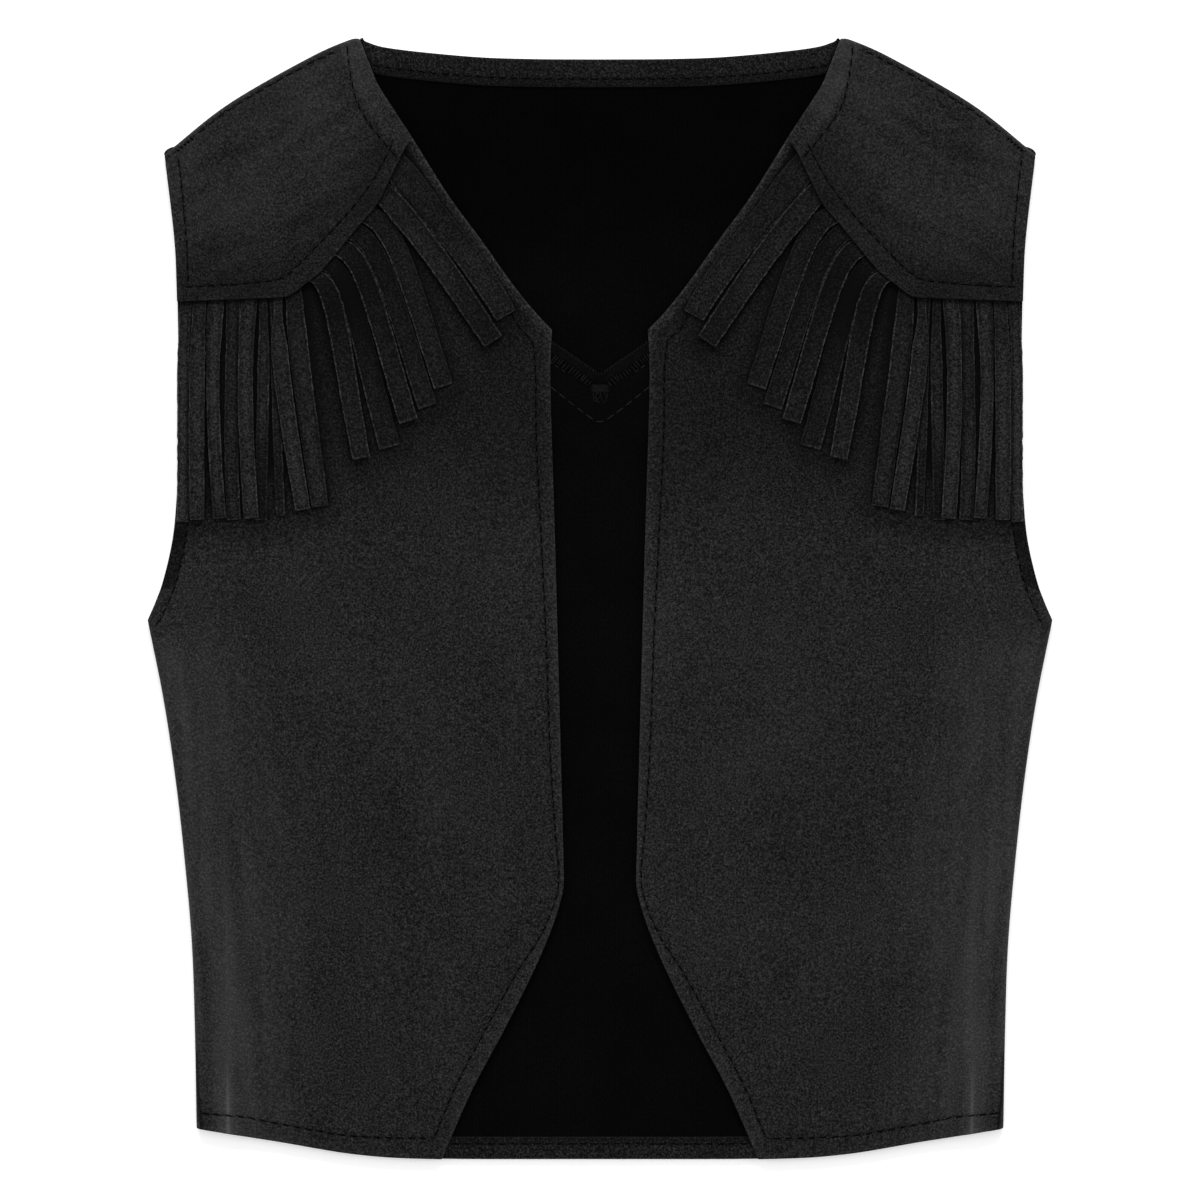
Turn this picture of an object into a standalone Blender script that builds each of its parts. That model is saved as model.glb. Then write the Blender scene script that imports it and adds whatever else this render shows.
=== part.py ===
# A child's western vest in faux suede, laid flat on its back with the fronts a little apart.
# Tables and sizes are in millimetres. "Across" is the distance from the centre line, "up" runs along +Y
# from the hem to the neck, and +Z is the way the fronts face. Both halves are alike.

import math
from collections import namedtuple

import bmesh
import bpy
from mathutils import Vector

MM = 0.001
ROUNDING = 0.001

# Cloth and layers
CLOTH = 1.2
STRAND_THICKNESS = 1.0
SEAM_GAP = 0.3
LAYER = CLOTH + SEAM_GAP
FRONT_TOP = 2 * LAYER + CLOTH
STRAND_TOP = FRONT_TOP + SEAM_GAP + STRAND_THICKNESS
YOKE_TOP = STRAND_TOP + SEAM_GAP + CLOTH

# Side and shoulder seams lie on a small roll of cloth, half of it on the back and half on the front
FOLD_RADIUS = 2.6
FOLD_ANGLES = (0, 25, 55, 90)
FOLD_SEAM_HALF_GAP = 0.41
UNDERARM_RUN_OUT = 14.0
NECK_FALL = 0.7

# Half outlines of the whole vest, each a list of (across, up)
SIDE_SEAM = [
    (161.2, -212.0), (162.0, -168.8), (163.2, -136.8), (166.0, -104.8),
    (169.6, -72.8), (174.4, -40.8), (180.8, -8.8),
]
ARMHOLE = [
    (180.8, -8.8), (177.2, -0.8), (174.4, 7.2), (170.8, 23.2), (169.2, 39.2),
    (168.0, 63.2), (168.4, 95.2), (168.8, 119.2), (170.0, 143.2), (174.0, 177.2),
]
SHOULDER = [(96.0, 223.6), (100.8, 222.8), (116.8, 215.6), (148.8, 197.2), (174.0, 177.2)]
BACK_NECK = [(0.0, 215.4), (28.8, 215.6), (52.8, 216.6), (84.8, 220.0), (96.0, 223.6)]
HEM = [(0.0, -224.4), (64.8, -224.2), (96.8, -222.4), (128.8, -217.2), (161.2, -212.0)]
CUTAWAY = [
    (63.2, -224.2), (51.2, -196.8), (38.4, -172.8), (26.4, -148.8),
    (18.8, -130.8), (15.2, -118.8), (14.4, -112.8),
]
FRONT_EDGE = [(14.4, -112.8), (15.6, -64.8), (18.0, 23.2), (19.8, 85.0), (19.2, 107.2)]
NECKLINE = [
    (19.2, 107.2), (25.2, 113.4), (34.8, 125.2), (47.6, 143.2), (60.8, 161.2),
    (75.0, 183.8), (87.6, 203.2), (91.2, 211.2), (96.0, 223.6),
]
UNDERARM_UP = ARMHOLE[0][1]
NECK_CORNER_UP = NECKLINE[0][1]
CUTAWAY_BREAK_UP = FRONT_EDGE[0][1]
NECK_SHOULDER_ACROSS = SHOULDER[0][0]

# Lower edge of the front yoke, from the neck to the armhole, and how far the front runs on under it
YOKE_EDGE = [
    (75.0, 183.8), (79.2, 177.0), (84.0, 167.0), (89.4, 156.6), (95.8, 149.2), (106.4, 136.2),
    (112.0, 129.8), (117.2, 125.8), (121.4, 122.4), (126.0, 120.2), (140.0, 119.5), (168.8, 118.4),
]
FRONT_UNDER_YOKE = 8.0
YOKE_FLAT_REACH = 9.5
YOKE_EASE = 12.0

# Lower edge of the back yoke: a V at the centre that levels out toward the armholes
BACK_V_UP = 63.2
BACK_V_SLOPE = 0.68
BACK_YOKE_LEVEL = 118.4
BACK_LAP = 22.0
BACK_LAP_HOLD = 27.0
BACK_LAP_EASE = 15.0

# Turned bands that show inside the back
NECK_BAND_WIDTH = 11.2
NECK_BAND_REACH = 91.4
HEM_BAND_WIDTH = 9.0
HEM_BAND_REACH = 155.5
BAND_INSET = 0.3

# The fronts rise a little toward the side roll, and each has one soft crease near its side seam
SIDE_RISE_REACH = 32.0
ARMHOLE_RISE_REACH = 38.0
CREASE_INSET = 12.0
CREASE_HALF_WIDTH = 5.0
CREASE_HEIGHT = 0.7
CREASE_TOP_UP = -118.0
CREASE_FULL_UP = -165.0

# Header strip of the fringe, measured inward from the yoke's lower edge
HEADER_START = 1.0
HEADER_END = 6.0
CORNER_SPREAD = 9.0
STRAND_STEPS = (0.05, 0.11, 0.2, 0.3, 0.42, 0.56, 0.7, 0.85, 1.0)
LIFT_START = 4.5
LIFT_RUN = 5.0
WIDTH_START = 0.1
WIDTH_RUN = 0.25
BOW_PEAK = 0.148
WIDEN_RUN = 0.3

# Strands from the neck to the armhole. The root runs between two distances across on the yoke's edge,
# the bend is the control point of the strand's curve, and lift is how high it rides over its neighbours.
# The bow moves its middle toward the neckline, and widen adds to its width below the root.
Strand = namedtuple(
    "Strand", "root_from root_to bend_across bend_up tip_across tip_up tip_width lift bow widen"
)
STRANDS = [
    Strand(78.6, 83.9, 55.6, 145.2, 37.4, 112.8, 8.8, 0.0, -1.3, 1.5),
    Strand(84.4, 88.6, 63.0, 133.0, 42.6, 102.4, 8.2, 1.3, 0.8, 0.9),
    Strand(90.4, 95.6, 82.4, 145.0, 62.4, 84.5, 7.8, 0.0, 2.4, 0.6),
    Strand(96.2, 101.0, 89.0, 137.4, 68.9, 76.4, 7.6, 0.0, 2.6, 0.2),
    Strand(101.4, 106.4, 95.7, 132.1, 76.4, 70.6, 7.6, 1.3, 2.8, 0.4),
    Strand(106.8, 111.6, 102.2, 127.0, 84.0, 60.2, 8.4, 0.0, 2.5, 0.0),
    Strand(112.0, 117.0, 109.0, 123.2, 95.2, 55.8, 7.0, 1.3, 3.1, 1.0),
    Strand(119.0, 125.2, 117.6, 79.2, 111.8, 36.6, 6.6, 0.5, -0.5, 1.2),
    Strand(126.4, 129.8, 128.0, 91.2, 118.6, 35.2, 6.0, 1.3, -0.7, 0.7),
    Strand(130.3, 132.1, 130.4, 79.2, 127.4, 32.8, 3.6, 0.0, 0.9, 0.0),
    Strand(132.8, 136.2, 135.4, 79.2, 135.4, 31.2, 4.8, 0.0, 0.7, 0.0),
    Strand(136.6, 143.0, 143.0, 81.6, 139.2, 31.8, 6.0, 1.3, -0.2, 0.0),
    Strand(143.6, 149.2, 149.2, 79.2, 146.2, 31.2, 5.6, 0.0, 0.8, 0.0),
    Strand(149.8, 156.2, 155.8, 79.2, 151.8, 31.8, 5.2, 0.7, -0.4, 0.0),
    Strand(157.0, 162.4, 161.2, 79.2, 160.8, 31.2, 5.8, 1.3, -0.2, 0.4),
    Strand(162.8, 167.4, 165.2, 79.2, 166.7, 30.4, 5.0, 0.0, -1.0, 0.0),
]

# Puts the origin under the middle of the vest
MIDDLE_SHIFT = 0.4

SUEDE = (0.0137, 0.0137, 0.0144)
WRONG_SIDE = (0.0032, 0.0032, 0.0034)


def smooth_step(value):
    value = min(1.0, max(0.0, value))
    return value * value * (3 - 2 * value)


def through(points, steps=6):
    # A smooth path through the points, which it keeps
    spots = [Vector(p) for p in points]
    ends = [2 * spots[0] - spots[1], *spots, 2 * spots[-1] - spots[-2]]
    path = [spots[0]]
    for a, b, c, d in zip(ends, ends[1:], ends[2:], ends[3:]):
        for k in range(1, steps + 1):
            t = k / steps
            path.append(
                b
                + 0.5 * t * (c - a)
                + t * t * (a - 2.5 * b + 2 * c - 0.5 * d)
                + 0.5 * t * t * t * (3 * b - a - 3 * c + d)
            )
    return path


def joined(*paths):
    whole = list(paths[0])
    for path in paths[1:]:
        whole += path[1:]
    return whole


def marks(path):
    total = [0.0]
    for a, b in zip(path, path[1:]):
        total.append(total[-1] + (b - a).length)
    return total


def at_share(path, share):
    total = marks(path)
    target = min(1.0, max(0.0, share)) * total[-1]
    for k in range(1, len(path)):
        if total[k] >= target:
            span = total[k] - total[k - 1]
            return path[k - 1].lerp(path[k], (target - total[k - 1]) / span)
    return path[-1].copy()


def share_where(path, axis, value):
    # The share of a path's length at which its across (0) or up (1) reaches the value
    total = marks(path)
    for end, share in ((path[0], 0.0), (path[-1], 1.0)):
        if abs(end[axis] - value) < ROUNDING:
            return share
    for k in range(1, len(path)):
        low, high = path[k - 1][axis], path[k][axis]
        if (low - value) * (high - value) <= 0 and low != high:
            return (total[k - 1] + (value - low) / (high - low) * (total[k] - total[k - 1])) / total[-1]
    raise ValueError(f"the path never reaches {value}")


def stretch(path, start, end, count):
    return [at_share(path, start + (end - start) * k / count) for k in range(count + 1)]


def by_stations(path, axis, stations):
    # Points along a path that land on every station; each is (value, steps to the next one)
    spots = []
    for (low, count), (high, _) in zip(stations, stations[1:]):
        part = stretch(path, share_where(path, axis, low), share_where(path, axis, high), count)
        spots += part if not spots else part[1:]
    return spots


def inward(path, share, reach):
    # A point moved into the yoke from its lower edge, with the turn at the corner spread out
    step = CORNER_SPREAD / marks(path)[-1]
    along = at_share(path, share + step) - at_share(path, share - step)
    return at_share(path, share) + Vector((-along.y, along.x)).normalized() * reach


def distance_to(path, spot):
    best = math.inf
    for a, b in zip(path, path[1:]):
        along = b - a
        share = min(1.0, max(0.0, (spot - a).dot(along) / along.length_squared))
        best = min(best, (spot - a - along * share).length)
    return best


def fold_drop(distance, turned=1.0):
    # How far the roll has turned down at a distance from its seam. Where it runs out it turns less,
    # on the same radius, so that the wall keeps its thickness.
    reach = FOLD_RADIUS * math.sin(turned * math.pi / 2)
    if distance >= reach:
        return 0.0
    drop = FOLD_RADIUS - math.sqrt(FOLD_RADIUS**2 - (reach - distance) ** 2)
    return drop * (1 - FOLD_SEAM_HALF_GAP / FOLD_RADIUS)


def fold_insets():
    return [FOLD_RADIUS * (1 - math.cos(math.radians(a))) for a in FOLD_ANGLES]


def patch(inner, outer, low, high, near_inner, near_outer, middle, height):
    # Rows run from the inner to the outer path. The first row takes the form of the low path and the
    # last one that of the high path. Each row has points at set distances from both of its ends.
    rows = []
    last = len(inner) - 1
    for j, (start, end) in enumerate(zip(inner, outer)):
        share = j / last
        width = (end - start).length
        first = near_inner[-1] / width
        second = 1 - near_outer[-1] / width
        across = [d / width for d in near_inner]
        across += [first + (second - first) * k / middle for k in range(1, middle)]
        across += [1 - d / width for d in reversed(near_outer)]
        row = []
        for u in across:
            bow_low = at_share(low, u) - low[0].lerp(low[-1], u)
            bow_high = at_share(high, u) - high[0].lerp(high[-1], u)
            spot = start.lerp(end, u) + bow_low * (1 - share) ** 3 + bow_high * share**3
            row.append((spot.x, spot.y, height(spot, u * width, (1 - u) * width)))
        rows.append(row)
    return rows


def suede_material(name, colour):
    material = bpy.data.materials.new(name)
    material.use_nodes = True
    shader = material.node_tree.nodes["Principled BSDF"]
    shader.inputs["Base Color"].default_value = (*colour, 1.0)
    shader.inputs["Roughness"].default_value = 0.95
    shader.inputs["Metallic"].default_value = 0.0
    return material


def sheet_object(name, mesh, facing, thickness, colour, mirrored=False):
    # The mesh is the outer face of a piece of cloth; facing is +1 where that face looks up
    form = bmesh.new()
    form.from_mesh(mesh)
    form.normal_update()
    lean = sum(face.normal.z * face.calc_area() for face in form.faces)
    if lean * facing < 0:
        bmesh.ops.reverse_faces(form, faces=form.faces)
    form.to_mesh(mesh)
    form.free()
    piece = bpy.data.objects.new(name, mesh)
    mesh.materials.append(suede_material(name, colour))
    vest.objects.link(piece)
    piece.parent = middle
    if mirrored:
        mirror = piece.modifiers.new("both halves", "MIRROR")
        mirror.merge_threshold = 0.00005
    wall = piece.modifiers.new("wall", "SOLIDIFY")
    wall.thickness = thickness * MM
    wall.offset = -1.0
    wall.use_even_offset = True
    return piece


def mesh_of_rows(name, rows, side=1):
    form = bmesh.new()
    grid = [[form.verts.new((side * x * MM, y * MM, z * MM)) for x, y, z in row] for row in rows]
    for low, high in zip(grid, grid[1:]):
        for k in range(len(low) - 1):
            form.faces.new((low[k], low[k + 1], high[k + 1], high[k]))
    mesh = bpy.data.meshes.new(name)
    form.to_mesh(mesh)
    form.free()
    return mesh


def make_back_body():
    # The back below its yoke. Its top edge lies on the yoke's wrong side, so it steps up there.
    def height(spot, from_centre, from_side):
        past_underarm = max(0.0, spot.y - UNDERARM_UP)
        held = smooth_step((distance_to(top, spot) - BACK_LAP_HOLD) / BACK_LAP_EASE)
        turned = 1 - smooth_step(past_underarm / UNDERARM_RUN_OUT)
        return fold_drop(from_side, turned) + LAYER * (1 - held)

    side_path = joined(through(SIDE_SEAM), through(ARMHOLE))
    top = back_v_edge(BACK_LAP)
    top_up = top[-1].y
    side = by_stations(
        side_path,
        1,
        [(-212.0, 7), (-60.0, 4), (UNDERARM_UP, 5), (7.0, 6), (88.0, 7), (top_up, 0)],
    )
    top[-1] = side[-1]
    hem = through(HEM)
    centre = [Vector((0.0, hem[0].y + (top[0].y - hem[0].y) * k / (len(side) - 1))) for k in range(len(side))]
    rows = patch(centre, side, hem, top, [0.0], [*fold_insets(), 9.0], 9, height)
    sheet_object("back_body", mesh_of_rows("back_body", rows), -1, CLOTH, WRONG_SIDE, mirrored=True)


def back_v_edge(moved=0.0):
    # The V edge of the back yoke, or a line moved up from it square to the slope
    rise = moved * math.sqrt(1 + BACK_V_SLOPE**2)
    start = BACK_V_UP + rise
    level = BACK_YOKE_LEVEL + moved
    bend = (level - start) / BACK_V_SLOPE
    points = [
        (0.0, start),
        (bend * 0.4, start + bend * 0.4 * BACK_V_SLOPE),
        (bend - 12.0, level - 12.0 * BACK_V_SLOPE),
        (bend, level - 2.6),
        (bend + 14.0, level),
        (168.8, level),
    ]
    return through(points)


def make_back_yoke():
    # The back above the V seam, with the shoulder roll along its upper edge and the neck between
    def height(spot, from_low, from_top):
        past_seam = max(0.0, NECK_SHOULDER_ACROSS - spot.x)
        return fold_drop(from_top + NECK_FALL * past_seam)

    low_path = back_v_edge()
    top_path = joined(through(BACK_NECK), through(SHOULDER))
    armhole_path = through(ARMHOLE)
    tip = SHOULDER[-1]
    stations = [(0.0, 5), (78.0, 2), (92.2, 1), (NECK_SHOULDER_ACROSS, 7), (tip[0], 0)]
    top = by_stations(top_path, 0, stations)
    low = by_stations(low_path, 0, [(0.0, 5), (70.0, 2), (82.0, 1), (88.0, 7), (168.8, 0)])
    first = share_where(armhole_path, 1, BACK_YOKE_LEVEL)
    armhole = stretch(armhole_path, first, 1.0, 6)
    low[-1] = armhole[0]
    centre = [low[0], top[0]]
    rows = patch(low, top, centre, armhole, [0.0, 12.0], [*fold_insets(), 9.0], 5, height)
    sheet_object("back_yoke", mesh_of_rows("back_yoke", rows), -1, CLOTH, WRONG_SIDE, mirrored=True)


def make_band(name, edge_points, reach, width, count):
    # A turned band on the inner side of the back, along one of its edges
    edge = through(edge_points)
    end = share_where(edge, 0, reach)
    toward = 1 if edge_points[0][1] < 0 else -1
    rows = []
    for k in range(count + 1):
        share = end * k / count
        spot = at_share(edge, share)
        along = at_share(edge, share + 0.02) - at_share(edge, share - 0.02)
        square = Vector((-along.y, along.x)).normalized() * toward
        if k == 0:
            square = Vector((0.0, float(toward)))
        row = [spot + square * BAND_INSET, spot + square * width]
        rows.append([(p.x, p.y, LAYER + CLOTH) for p in row])
    sheet_object(name, mesh_of_rows(name, rows), 1, CLOTH, SUEDE, mirrored=True)


def make_front(name, side):
    # One front: hem, cutaway, straight front edge, neckline, armhole and side seam
    def height(spot, from_edge, from_side):
        past_underarm = max(0.0, spot.y - UNDERARM_UP)
        near_side = 1 - smooth_step((from_side - FOLD_RADIUS) / SIDE_RISE_REACH)
        near_roll = near_side * (1 - smooth_step(past_underarm / ARMHOLE_RISE_REACH))
        level = FRONT_TOP + (2 * FOLD_RADIUS - FRONT_TOP) * near_roll
        across_crease = max(0.0, 1 - ((from_side - CREASE_INSET) / CREASE_HALF_WIDTH) ** 2)
        along_crease = smooth_step((CREASE_TOP_UP - spot.y) / (CREASE_TOP_UP - CREASE_FULL_UP))
        drop = fold_drop(from_side, 1 - smooth_step(past_underarm / UNDERARM_RUN_OUT))
        return level - drop + CREASE_HEIGHT * across_crease * along_crease

    side_path = joined(through(SIDE_SEAM), through(ARMHOLE))
    edge_path = joined(through(CUTAWAY), through(FRONT_EDGE), through(NECKLINE))
    yoke_edge = through(YOKE_EDGE)
    neck_end_up = YOKE_EDGE[0][1] + FRONT_UNDER_YOKE
    side_end_up = YOKE_EDGE[-1][1] + FRONT_UNDER_YOKE
    side_stations = [
        (-212.0, 6), (-110.0, 5), (UNDERARM_UP, 5), (7.0, 4), (80.0, 5), (side_end_up, 0),
    ]
    edge_stations = [
        (-224.2, 6), (CUTAWAY_BREAK_UP, 5), (-8.0, 5), (10.0, 4), (NECK_CORNER_UP, 5), (neck_end_up, 0),
    ]
    outer = by_stations(side_path, 1, side_stations)
    inner = by_stations(edge_path, 1, edge_stations)
    hem_path = through(HEM)
    hem = stretch(hem_path, share_where(hem_path, 0, CUTAWAY[0][0]), 1.0, 12)
    hem[0] = inner[0]
    top = [inward(yoke_edge, 0.12 + 0.8 * k / 12, FRONT_UNDER_YOKE) for k in range(13)]
    top = [inner[-1], *top, outer[-1]]
    near_side = [*fold_insets(), 7.0, 12.0, 17.0, 25.0, 35.0]
    rows = patch(inner, outer, hem, top, [0.0], near_side, 6, height)
    sheet_object(name, mesh_of_rows(name, rows, side), 1, CLOTH, SUEDE)


def make_yoke(name, side):
    # One front yoke, from its lower edge over the fringe up to the shoulder roll
    def height(spot, from_low, from_shoulder):
        ease = smooth_step((from_low - YOKE_FLAT_REACH) / YOKE_EASE)
        level = YOKE_TOP + (2 * FOLD_RADIUS - YOKE_TOP) * ease
        return level - fold_drop(from_shoulder)

    low_path = through(YOKE_EDGE)
    shoulder_path = through(SHOULDER)
    neck_path = through(NECKLINE)
    armhole_path = through(ARMHOLE)
    corner = share_where(low_path, 0, 122.4)
    low = stretch(low_path, 0.0, corner, 7) + stretch(low_path, corner, 1.0, 6)[1:]
    shoulder = stretch(shoulder_path, 0.0, 0.42, 7) + stretch(shoulder_path, 0.42, 1.0, 6)[1:]
    neck = stretch(neck_path, share_where(neck_path, 1, YOKE_EDGE[0][1]), 1.0, 6)
    armhole = stretch(armhole_path, share_where(armhole_path, 1, YOKE_EDGE[-1][1]), 1.0, 6)
    low[0] = neck[0]
    low[-1] = armhole[0]
    near_low = [0.0, YOKE_FLAT_REACH, 13.0, 17.0, YOKE_FLAT_REACH + YOKE_EASE]
    rows = patch(low, shoulder, neck, armhole, near_low, fold_insets(), 3, height)
    sheet_object(name, mesh_of_rows(name, rows, side), 1, CLOTH, SUEDE)


def strand_stations(strand, root_a, root_b):
    # Pairs of points down a strand: a curve from its root over the bend to the tip
    root = (root_a + root_b) / 2
    bend = Vector((strand.bend_across, strand.bend_up))
    tip = Vector((strand.tip_across, strand.tip_up))
    root_width = (root_b - root_a).length
    run = (tip - root).length
    pairs = []
    for t in STRAND_STEPS:
        spot = root * (1 - t) ** 2 + bend * (2 * t * (1 - t)) + tip * t**2
        along = (bend - root) * (1 - t) + (tip - bend) * t
        square = Vector((-along.y, along.x)).normalized()
        widened = smooth_step((t - WIDTH_START) / WIDTH_RUN)
        width = root_width + (strand.tip_width - root_width) * widened
        width += strand.widen * smooth_step(t / WIDEN_RUN) * (1 - t**4)
        if t < WIDTH_RUN:
            square = square.lerp((root_b - root_a).normalized(), 1 - t / WIDTH_RUN).normalized()
        spot = spot - square * (strand.bow * t * (1 - t) ** 2 / BOW_PEAK)
        z = STRAND_TOP + strand.lift * smooth_step((t * run - LIFT_START) / LIFT_RUN)
        pairs.append((spot - square * width / 2, spot + square * width / 2, z))
    return pairs


def make_fringe(name, side):
    # A header strip under the yoke's lower edge, with its strands cut from the same piece
    edge = through(YOKE_EDGE)
    form = bmesh.new()

    def corner(spot, z):
        return form.verts.new((side * spot.x * MM, spot.y * MM, z * MM))

    previous = None
    for strand in STRANDS:
        shares = [share_where(edge, 0, strand.root_from), share_where(edge, 0, strand.root_to)]
        roots = [inward(edge, share, HEADER_START) for share in shares]
        low = [corner(spot, STRAND_TOP) for spot in roots]
        high = [corner(inward(edge, share, HEADER_END), STRAND_TOP) for share in shares]
        form.faces.new((low[0], low[1], high[1], high[0]))
        if previous:
            form.faces.new((previous[0], low[0], high[0], previous[1]))
        previous = (low[1], high[1])
        for left, right, z in strand_stations(strand, *roots):
            step = [corner(left, z), corner(right, z)]
            form.faces.new((low[1], low[0], step[0], step[1]))
            low = step
    mesh = bpy.data.meshes.new(name)
    form.to_mesh(mesh)
    form.free()
    sheet_object(name, mesh, 1, STRAND_THICKNESS, SUEDE)


for old in list(bpy.data.objects):
    bpy.data.objects.remove(old, do_unlink=True)

vest = bpy.data.collections.new("western_vest")
bpy.context.scene.collection.children.link(vest)
middle = bpy.data.objects.new("vest_middle", None)
middle.location = (0.0, MIDDLE_SHIFT * MM, 0.0)
vest.objects.link(middle)

make_back_body()
make_back_yoke()
make_band("back_neck_hem", BACK_NECK, NECK_BAND_REACH, NECK_BAND_WIDTH, 9)
make_band("back_bottom_hem", HEM, HEM_BAND_REACH, HEM_BAND_WIDTH, 10)
for side, word in ((-1, "left"), (1, "right")):
    make_front(f"front_{word}", side)
    make_yoke(f"yoke_{word}", side)
    make_fringe(f"fringe_{word}", side)
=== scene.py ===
import math
from collections import namedtuple

import bpy
import numpy as np
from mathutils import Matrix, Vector
from mathutils.bvhtree import BVHTree


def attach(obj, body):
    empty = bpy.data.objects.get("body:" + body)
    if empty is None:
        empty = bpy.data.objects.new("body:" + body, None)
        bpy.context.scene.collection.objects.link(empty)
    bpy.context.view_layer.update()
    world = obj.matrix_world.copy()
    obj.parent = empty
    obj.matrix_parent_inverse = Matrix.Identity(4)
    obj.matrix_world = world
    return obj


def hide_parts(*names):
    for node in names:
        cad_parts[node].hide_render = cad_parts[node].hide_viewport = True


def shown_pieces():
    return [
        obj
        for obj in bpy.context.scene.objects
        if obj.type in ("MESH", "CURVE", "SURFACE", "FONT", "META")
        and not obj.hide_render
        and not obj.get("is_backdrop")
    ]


# A child's western vest in near-black faux suede, laid flat on its back with the fronts a little apart.
# Lengths in the tables are in millimetres: across is the distance from the centre line, up is along +Y.

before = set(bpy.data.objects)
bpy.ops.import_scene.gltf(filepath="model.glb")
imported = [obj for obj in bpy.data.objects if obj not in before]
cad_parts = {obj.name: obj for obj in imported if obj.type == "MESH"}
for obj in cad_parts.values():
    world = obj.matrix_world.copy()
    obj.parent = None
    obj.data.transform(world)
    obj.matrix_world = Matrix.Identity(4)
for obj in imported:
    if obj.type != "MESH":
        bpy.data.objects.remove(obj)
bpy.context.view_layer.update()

mm = 0.001
middleShift = 0.4
sides = {"left": -1, "right": 1}

layers = {
    "cloth": 1.2,        # one thickness of faux suede
    "strand": 1,
    "lapRise": 1.5,      # where the back's top edge lies on its yoke
    "bandTop": 2.7,
    "bandUnder": 1.26,
    "frontTop": 4.2,
    "strandTop": 5.5,
    "yokeTop": 7,
    "roll": 2.6,         # radius of the fold at the side and shoulder seams
    "seamGap": 0.1,
}

# Half outlines of the vest, each a list of (across, up)
sideSeam = [
    (161.2, -212), (162, -168.8), (163.2, -136.8), (166, -104.8),
    (169.6, -72.8), (174.4, -40.8), (180.8, -8.8),
]
armhole = [
    (180.8, -8.8), (177.2, -0.8), (174.4, 7.2), (170.8, 23.2), (169.2, 39.2),
    (168, 63.2), (168.4, 95.2), (168.8, 119.2), (170, 143.2), (174, 177.2),
]
shoulder = [(96, 223.6), (100.8, 222.8), (116.8, 215.6), (148.8, 197.2), (174, 177.2)]
backNeck = [(0, 215.4), (28.8, 215.6), (52.8, 216.6), (84.8, 220), (96, 223.6)]
hem = [(0, -224.4), (64.8, -224.2), (96.8, -222.4), (128.8, -217.2), (161.2, -212)]
cutaway = [
    (63.2, -224.2), (51.2, -196.8), (38.4, -172.8), (26.4, -148.8),
    (18.8, -130.8), (15.2, -118.8), (14.4, -112.8),
]
frontEdge = [(14.4, -112.8), (15.6, -64.8), (18, 23.2), (19.8, 85), (19.2, 107.2)]
neckline = [
    (19.2, 107.2), (25.2, 113.4), (34.8, 125.2), (47.6, 143.2), (60.8, 161.2),
    (75, 183.8), (87.6, 203.2), (91.2, 211.2), (96, 223.6),
]
yokeEdge = [
    (75, 183.8), (79.2, 177), (84, 167), (89.4, 156.6), (95.8, 149.2), (106.4, 136.2),
    (112, 129.8), (117.2, 125.8), (121.4, 122.4), (126, 120.2), (140, 119.5), (168.8, 118.4),
]


def smoothStep(value):
    value = np.clip(value, 0, 1)
    return value * value * (3 - 2 * value)


def rising(value, start, run):
    return smoothStep((value - start) / run)


def falling(value, start, run):
    return 1 - smoothStep((value - start) / run)


def bell(distance, width, power=2):
    return np.exp(-((distance / width) ** power))


def unit(vectors):
    return vectors / np.linalg.norm(vectors, axis=-1, keepdims=True)


def squareTo(along):
    return np.stack([-along[..., 1], along[..., 0]], axis=-1)


class Line:
    # A smooth line through points, or a straight run from each to the next, measured along its length
    def __init__(self, points, steps=12):
        points = np.array(points, float)
        if steps:
            ends = np.vstack([2 * points[0] - points[1], points, 2 * points[-1] - points[-2]])
            t = (np.arange(1, steps + 1) / steps)[:, None]
            parts = [points[:1]]
            for a, b, c, d in zip(ends, ends[1:], ends[2:], ends[3:]):
                bend = t * t * (a - 2.5 * b + 2 * c - 0.5 * d)
                parts.append(b + 0.5 * t * (c - a) + bend + 0.5 * t**3 * (3 * b - a - 3 * c + d))
            points = np.vstack(parts)
        self.spots = points
        self.marks = np.concatenate([[0], np.cumsum(np.linalg.norm(np.diff(points, axis=0), axis=1))])
        self.length = self.marks[-1]

    def at(self, share):
        place = np.asarray(share) * self.length
        return np.stack([np.interp(place, self.marks, self.spots[:, k]) for k in (0, 1)], axis=-1)

    def shareWhere(self, axis, value):
        values = self.spots[:, axis]
        for end, share in ((0, 0), (-1, 1)):
            if abs(values[end] - value) < 0.001:
                return share
        for k in range(1, len(values)):
            low, high = values[k - 1], values[k]
            if (low - value) * (high - value) <= 0 and low != high:
                step = self.marks[k] - self.marks[k - 1]
                return (self.marks[k - 1] + (value - low) / (high - low) * step) / self.length
        raise ValueError(f"the line never reaches {value}")

    def near(self, spots):
        # The distance of each spot from the line, and how far along the line it is
        flat = np.asarray(spots).reshape(-1, 2)
        best = np.full(len(flat), 1e9)
        place = np.zeros(len(flat))
        for k in range(1, len(self.spots)):
            a = self.spots[k - 1]
            along = self.spots[k] - a
            share = np.clip(((flat - a) @ along) / max(along @ along, 1e-12), 0, 1)
            away = np.linalg.norm(flat - a - share[:, None] * along, axis=1)
            closer = away < best
            best[closer] = away[closer]
            place[closer] = self.marks[k - 1] + share[closer] * (self.marks[k] - self.marks[k - 1])
        shape = np.shape(spots)[:-1]
        return best.reshape(shape), place.reshape(shape)

    def away(self, spots):
        return self.near(spots)[0]

    def direction(self, share):
        step = 0.4 / self.length
        return unit(self.at(np.minimum(share + step, 1)) - self.at(np.maximum(share - step, 0)))

    def part(self, start, end):
        return Line(self.at(np.linspace(start, end, 160)), 0)


def joined(*lines):
    return Line(np.vstack([lines[0].spots] + [line.spots[1:] for line in lines[1:]]), 0)


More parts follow.
